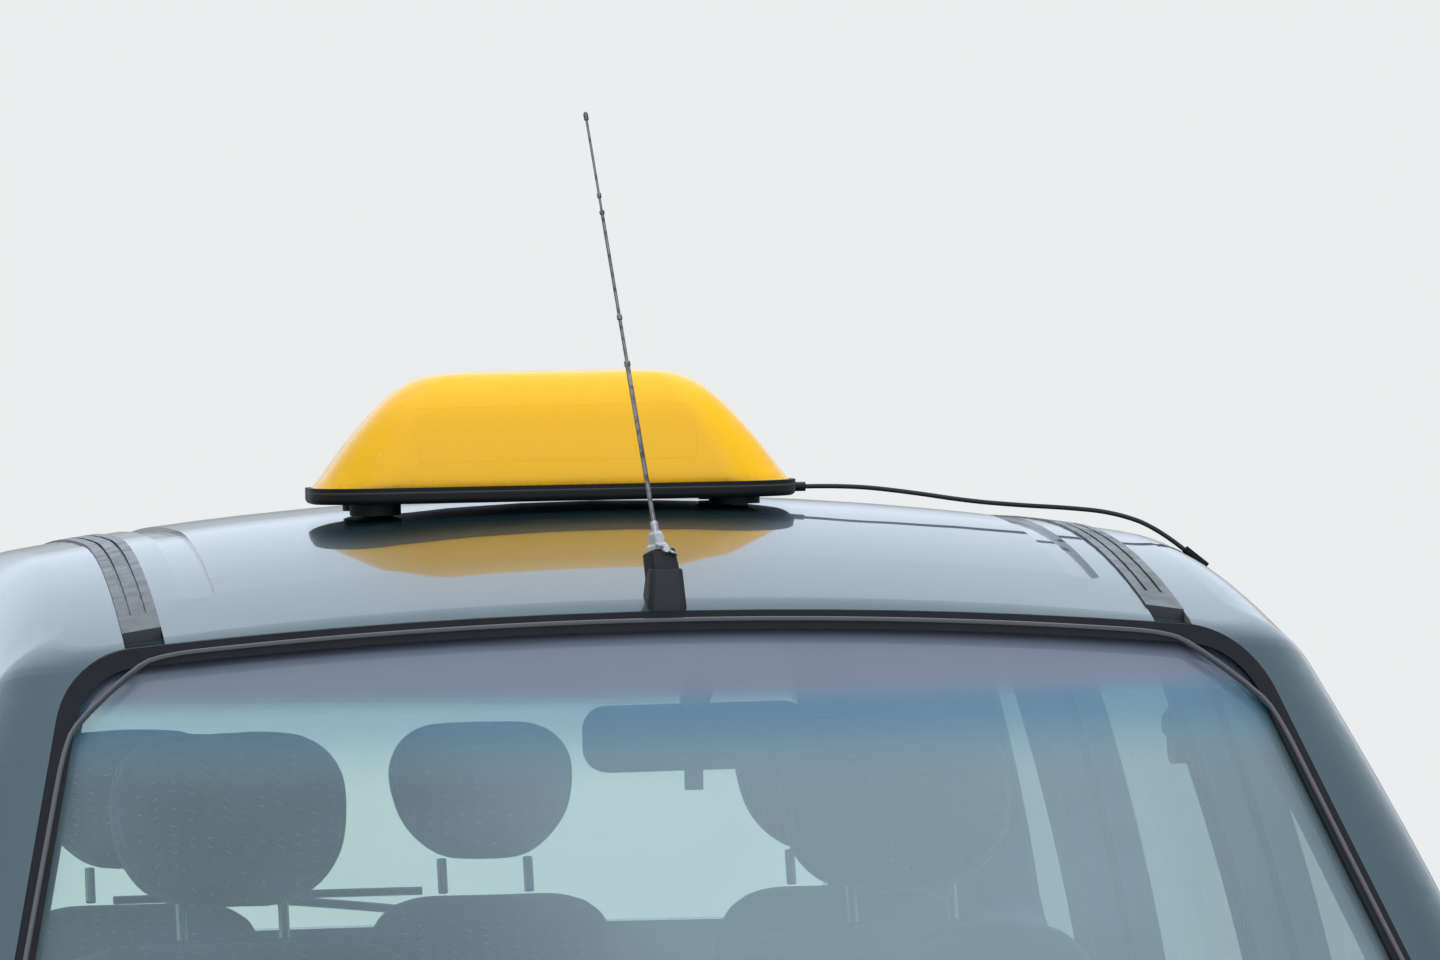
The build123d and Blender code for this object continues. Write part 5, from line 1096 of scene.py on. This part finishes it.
for door_name, rub_start, rub_end, seal_start, seal_end, rest_y, latch_y in DOORS:
    for side, sign in SIDES:
        door = f"{door_name}_{side}"
        rub = (rub_start, rub_end, RUB_HEIGHT, RUB_WIDTH, RUB_DEPTH, outdoor_black, sign, door)
        laid_strip(f"{door}_rub_strip", door, *rub)
        seal = (seal_start, seal_end, SEAL_HEIGHT, 0.014, 0.003, seal_rubber, sign, door)
        laid_strip(f"{door}_window_seal", door, *seal)
        inner = surface_point(door, (0.0, rest_y, 0.62), (sign, 0, 0))
        latch = surface_point(door, (0.0, latch_y, 0.80), (sign, 0, 0))
        furniture = bmesh.new()
        facing_cabin = rotation("Y", -90 * sign)
        rest = Matrix.Translation((inner.x, rest_y, 0.64)) @ facing_cabin
        rounded_plate(furniture, 0.055, 0.300, 0.048, 0.020, rest)
        cup = Matrix.Translation((latch.x, latch_y, 0.80)) @ facing_cabin
        rounded_plate(furniture, 0.060, 0.110, 0.006, 0.020, cup)
        rounded_plate(furniture, 0.026, 0.078, 0.014, 0.010, cup, 1)
        winder = Matrix.Translation((inner.x, rest_y + 0.05, 0.53)) @ facing_cabin
        turn_profile(furniture, ((0.022, 0.0), (0.020, 0.014), (0.012, 0.018)), 24, winder)
        box(furniture, winder @ Matrix.Translation((0.040, 0, 0.016)), (0.090, 0.014, 0.007))
        grip = winder @ Matrix.Translation((0.078, 0, 0))
        turn_profile(furniture, ((0.009, 0.018), (0.012, 0.034), (0.010, 0.046)), 20, grip, 1)
        fitted = mesh_object(f"{door}_furniture", furniture, cabin_grey, trim_black, smooth=35)
        soft = fitted.modifiers.new("soft_edges", "BEVEL")
        soft.width = 0.0025
        soft.segments = 3
        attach(fitted, door)


# Number plates and rear wiper
# White reflective plates with a fine rim and two screws each, one in the front bumper's recess and
# one on the tailgate. The rear wiper rests level on the glass from its spindle under the window.
plate_white = Paint("plate sheet", roughness=0.35, coat_weight=0.4)
plate_dirt = plate_white.patches(16, 6, 0.45, 0.8)
plate_white.set(base_color=plate_white.mix(plate_dirt * 0.16, (0.80, 0.80, 0.78), (0.36, 0.33, 0.28)))
PLATE_SIZE = (0.518, 0.110, 0.0016)
PLATE_REACH = 0.045
SCREW_PROFILE = ((0.0065, 0.0), (0.0062, 0.0012), (0.0040, 0.0022))
screw_zinc = Paint("screw zinc", base_color=(0.45, 0.45, 0.44), metallic=1.0, roughness=0.35)
for plate_name, node_name, plate_z, from_y, look, body in (
    ("number_plate_front", "front_bumper", 0.455, -2.4, 1, "root"),
    ("number_plate_rear", "tailgate", 0.842, 2.4, -1, "tailgate"),
):
    heights = (plate_z, plate_z + PLATE_REACH, plate_z - PLATE_REACH)
    nearest = min(surface_point(node_name, (0, from_y, height), (0, look, 0)).y * look for height in heights) * look
    turned = facing_back if look < 0 else rotation("X", 90)
    at = Matrix.Translation((0, nearest - look * 0.001, plate_z))
    plate = bmesh.new()
    rounded_plate(plate, *PLATE_SIZE, 0.010, at @ turned)
    top = max(plate.faces, key=lambda f: -look * f.calc_center_median().y)
    bmesh.ops.inset_region(plate, faces=[top], thickness=0.004)
    bmesh.ops.translate(plate, verts=top.verts, vec=(0, look * 0.0006, 0))
    for screw_x in (-0.19, 0.19):
        turn_profile(plate, SCREW_PROFILE, 20, at @ turned @ Matrix.Translation((screw_x, 0, 0.0012)), 1)
    made = mesh_object(plate_name, plate, plate_white, screw_zinc, smooth=30)
    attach(made, body)

# The blade follows the curve of the pane, and the arm stands a finger's breadth off it.
WIPER_HEIGHT = 1.062
wiper_rubber = Paint("wiper rubber", base_color=(0.012, 0.012, 0.012), roughness=0.5)


def on_rear_glass(at_x, at_z, off):
    """A point that stands off the tailgate's pane."""
    place = surface_point("tailgate_glass", (at_x, 2.6, at_z), (0, -1, 0))
    return (place.x, place.y + off, place.z)


blade_line = [on_rear_glass(-0.40 + 0.05 * i, WIPER_HEIGHT + 0.006, 0.007) for i in range(9)]
arm_line = [on_rear_glass(x, z, off) for x, z, off in (
    (0.05, 1.032, 0.016), (0.0, 1.040, 0.020), (-0.10, 1.052, 0.022), (-0.20, WIPER_HEIGHT, 0.014),
)]
for piece_name, line, thickness in (("rear_wiper_blade", blade_line, 0.0055), ("rear_wiper_arm", arm_line, 0.006)):
    made = curve_through(piece_name, line, thickness)
    made.data.materials.append(wiper_rubber.material)
    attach(made, "tailgate")
boss = bmesh.new()
boss_place = Matrix.Translation(on_rear_glass(0.05, 1.032, 0.0)) @ facing_back
turn_profile(boss, ((0.018, 0.0), (0.017, 0.012), (0.011, 0.022)), 28, boss_place)
wiper_boss = mesh_object("rear_wiper_boss", boss, outdoor_black, smooth=40)
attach(wiper_boss, "tailgate")


# Windscreen rubber's bead
# A polished filler bead runs in a channel round the middle of the seal and catches the light as one line.
# It follows the seal's own outline: straight sides, an arched head and foot, and four round corners.
SEAL_CORNERS = ((-0.722, 1.003), (0.722, 1.003), (0.592, 1.484), (-0.592, 1.484))
SEAL_RISES = (0.012, 0.0, 0.033, 0.0)
SEAL_CUTS = (0.058, 0.058, 0.105, 0.105)
BEAD_INSET = 0.009
BEAD_RADIUS = 0.0032
BEAD_PROUD = 0.0012
SEAL_MIDDLE = 1.25

bead_gloss = Paint("polished bead", base_color=(0.030, 0.030, 0.031), coat_weight=1.0)
bead_gloss.set(roughness=0.12 + bead_gloss.noise(60, 4) * 0.08)


def seal_side(index, along):
    """A point on one of the seal's four sides in front view, inset to its middle line."""
    ends = []
    for x, z in (SEAL_CORNERS[index % 4], SEAL_CORNERS[(index + 1) % 4]):
        ends.append(Vector((x - math.copysign(BEAD_INSET * 1.15, x), z - math.copysign(BEAD_INSET, z - SEAL_MIDDLE))))
    point = ends[0].lerp(ends[1], along)
    point.y += SEAL_RISES[index % 4] * 4 * along * (1 - along)
    return point


def cut_share(index, corner):
    """How much of a side its round corner takes up."""
    length = (Vector(SEAL_CORNERS[(index + 1) % 4]) - Vector(SEAL_CORNERS[index % 4])).length
    return SEAL_CUTS[corner % 4] / length


bead_points = []
for index in range(4):
    first = cut_share(index, index)
    last = 1 - cut_share(index, index + 1)
    corner = seal_side(index, 1.0)
    leave = seal_side(index, last)
    arrive = seal_side(index + 1, cut_share(index + 1, index + 1))
    outline = [seal_side(index, first + (last - first) * step / 24) for step in range(25)]
    for share in (step / 8 for step in range(1, 8)):
        outline.append(leave.lerp(corner, share).lerp(corner.lerp(arrive, share), share))
    for x, z in outline:
        place = surface_point("windscreen_seal", (x, -1.8, z), (0, 1, 0))
        if place:
            bead_points.append((place.x, place.y + BEAD_PROUD, place.z))
bead = curve_through("windscreen_bead", bead_points, BEAD_RADIUS)
bead.data.splines[0].use_endpoint_u = False
bead.data.splines[0].use_cyclic_u = True
bead.data.resolution_u = 3
bead.data.materials.append(bead_gloss.material)
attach(bead, "root")


# Header fittings
# Under the roof's front edge: two padded sun visors folded up against the lining on bright rods, and an
# interior lamp with a frosted lens between them.
visor_vinyl = grained("visor vinyl", (0.30, 0.30, 0.29), 0.6, 500)
lamp_frost = Paint("frosted lens", base_color=(0.72, 0.72, 0.68), roughness=0.5, subsurface_weight=0.3)
lamp_frost.set(subsurface_radius=(0.01, 0.01, 0.01))
VISOR_Y = (-0.455, -0.315)
for side, sign in SIDES:
    front = surface_point("roof_panel", (sign * 0.28, VISOR_Y[0], 1.2), (0, 0, 1))
    rear = surface_point("roof_panel", (sign * 0.28, VISOR_Y[1], 1.2), (0, 0, 1))
    slope = math.atan2(rear.z - front.z, VISOR_Y[1] - VISOR_Y[0])
    middle = (front + rear) / 2 - Vector((0, 0, 0.030))
    visor = bmesh.new()
    lay = Matrix.Translation(middle) @ Matrix.Rotation(slope, 4, "X")
    rounded_plate(visor, 0.37, 0.135, 0.014, 0.030, lay)
    for rod_x in (-0.17, 0.17):
        turn_profile(visor, ((0.004, 0.0), (0.004, 0.028)), 12, lay @ Matrix.Translation((rod_x, -0.055, 0.006)), 1)
    made = mesh_object(f"sun_visor_{side}", visor, visor_vinyl, bright_post, smooth=30)
    soft = made.modifiers.new("soft_edges", "BEVEL")
    soft.width = 0.005
    soft.segments = 4
    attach(made, "root")
ceiling = surface_point("roof_panel", (0.0, -0.36, 1.2), (0, 0, 1))
dome = bmesh.new()
downward = Matrix.Translation(ceiling + Vector((0, 0, 0.001))) @ rotation("X", 180)
rounded_plate(dome, 0.120, 0.060, 0.012, 0.012, downward)
rounded_plate(dome, 0.094, 0.040, 0.019, 0.010, downward, 1)
dome_lamp = mesh_object("interior_lamp", dome, visor_vinyl, lamp_frost, smooth=30)
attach(dome_lamp, "root")


# Seat belt anchors
# A dark swivelling loop high on each centre pillar, with the belt's webbing dropping down the pillar from it.
webbing = Paint("belt webbing", base_color=(0.020, 0.021, 0.023), roughness=0.8)
ribs = abs((webbing.axes()[1] * 480) % 1 - 0.5)
webbing.bump(ribs, 0.0006, 0.6)
ANCHOR_Y = 0.130
ANCHOR_TOP = 1.345
BELT_FOOT = 0.45
for side, sign in SIDES:
    pillar = f"body_side_{side}"
    top = surface_point(pillar, (0.0, ANCHOR_Y, ANCHOR_TOP), (sign, 0, 0))
    foot = surface_point(pillar, (0.0, ANCHOR_Y, BELT_FOOT), (sign, 0, 0))
    belt = bmesh.new()
    loop = Matrix.Translation(top) @ rotation("Y", -90 * sign)
    rounded_plate(belt, 0.062, 0.052, 0.016, 0.018, loop)
    turn_profile(belt, ((0.013, 0.0), (0.013, 0.022), (0.009, 0.025)), 24, loop @ Matrix.Translation((0.012, 0, 0)))
    bmesh.ops.create_grid(belt, x_segments=1, y_segments=24, size=0.5)
    flat = [vert for vert in belt.verts if abs(vert.co.z) < 1e-6 and vert.co.length < 0.8]
    for vert in flat:
        share = vert.co.y + 0.5
        height = BELT_FOOT + share * (ANCHOR_TOP - 0.02 - BELT_FOOT)
        place = surface_point(pillar, (0.0, ANCHOR_Y, height), (sign, 0, 0)) or top.lerp(foot, 1 - share)
        vert.co = Vector((place.x - sign * 0.006, ANCHOR_Y + vert.co.x * 0.046, height))
        for face in vert.link_faces:
            face.material_index = 1
    made = mesh_object(f"seat_belt_{side}", belt, trim_black, webbing, smooth=40)
    thick = made.modifiers.new("weave", "SOLIDIFY")
    thick.thickness = 0.0013
    thick.offset = 0
    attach(made, "root")

bpy.context.view_layer.update()
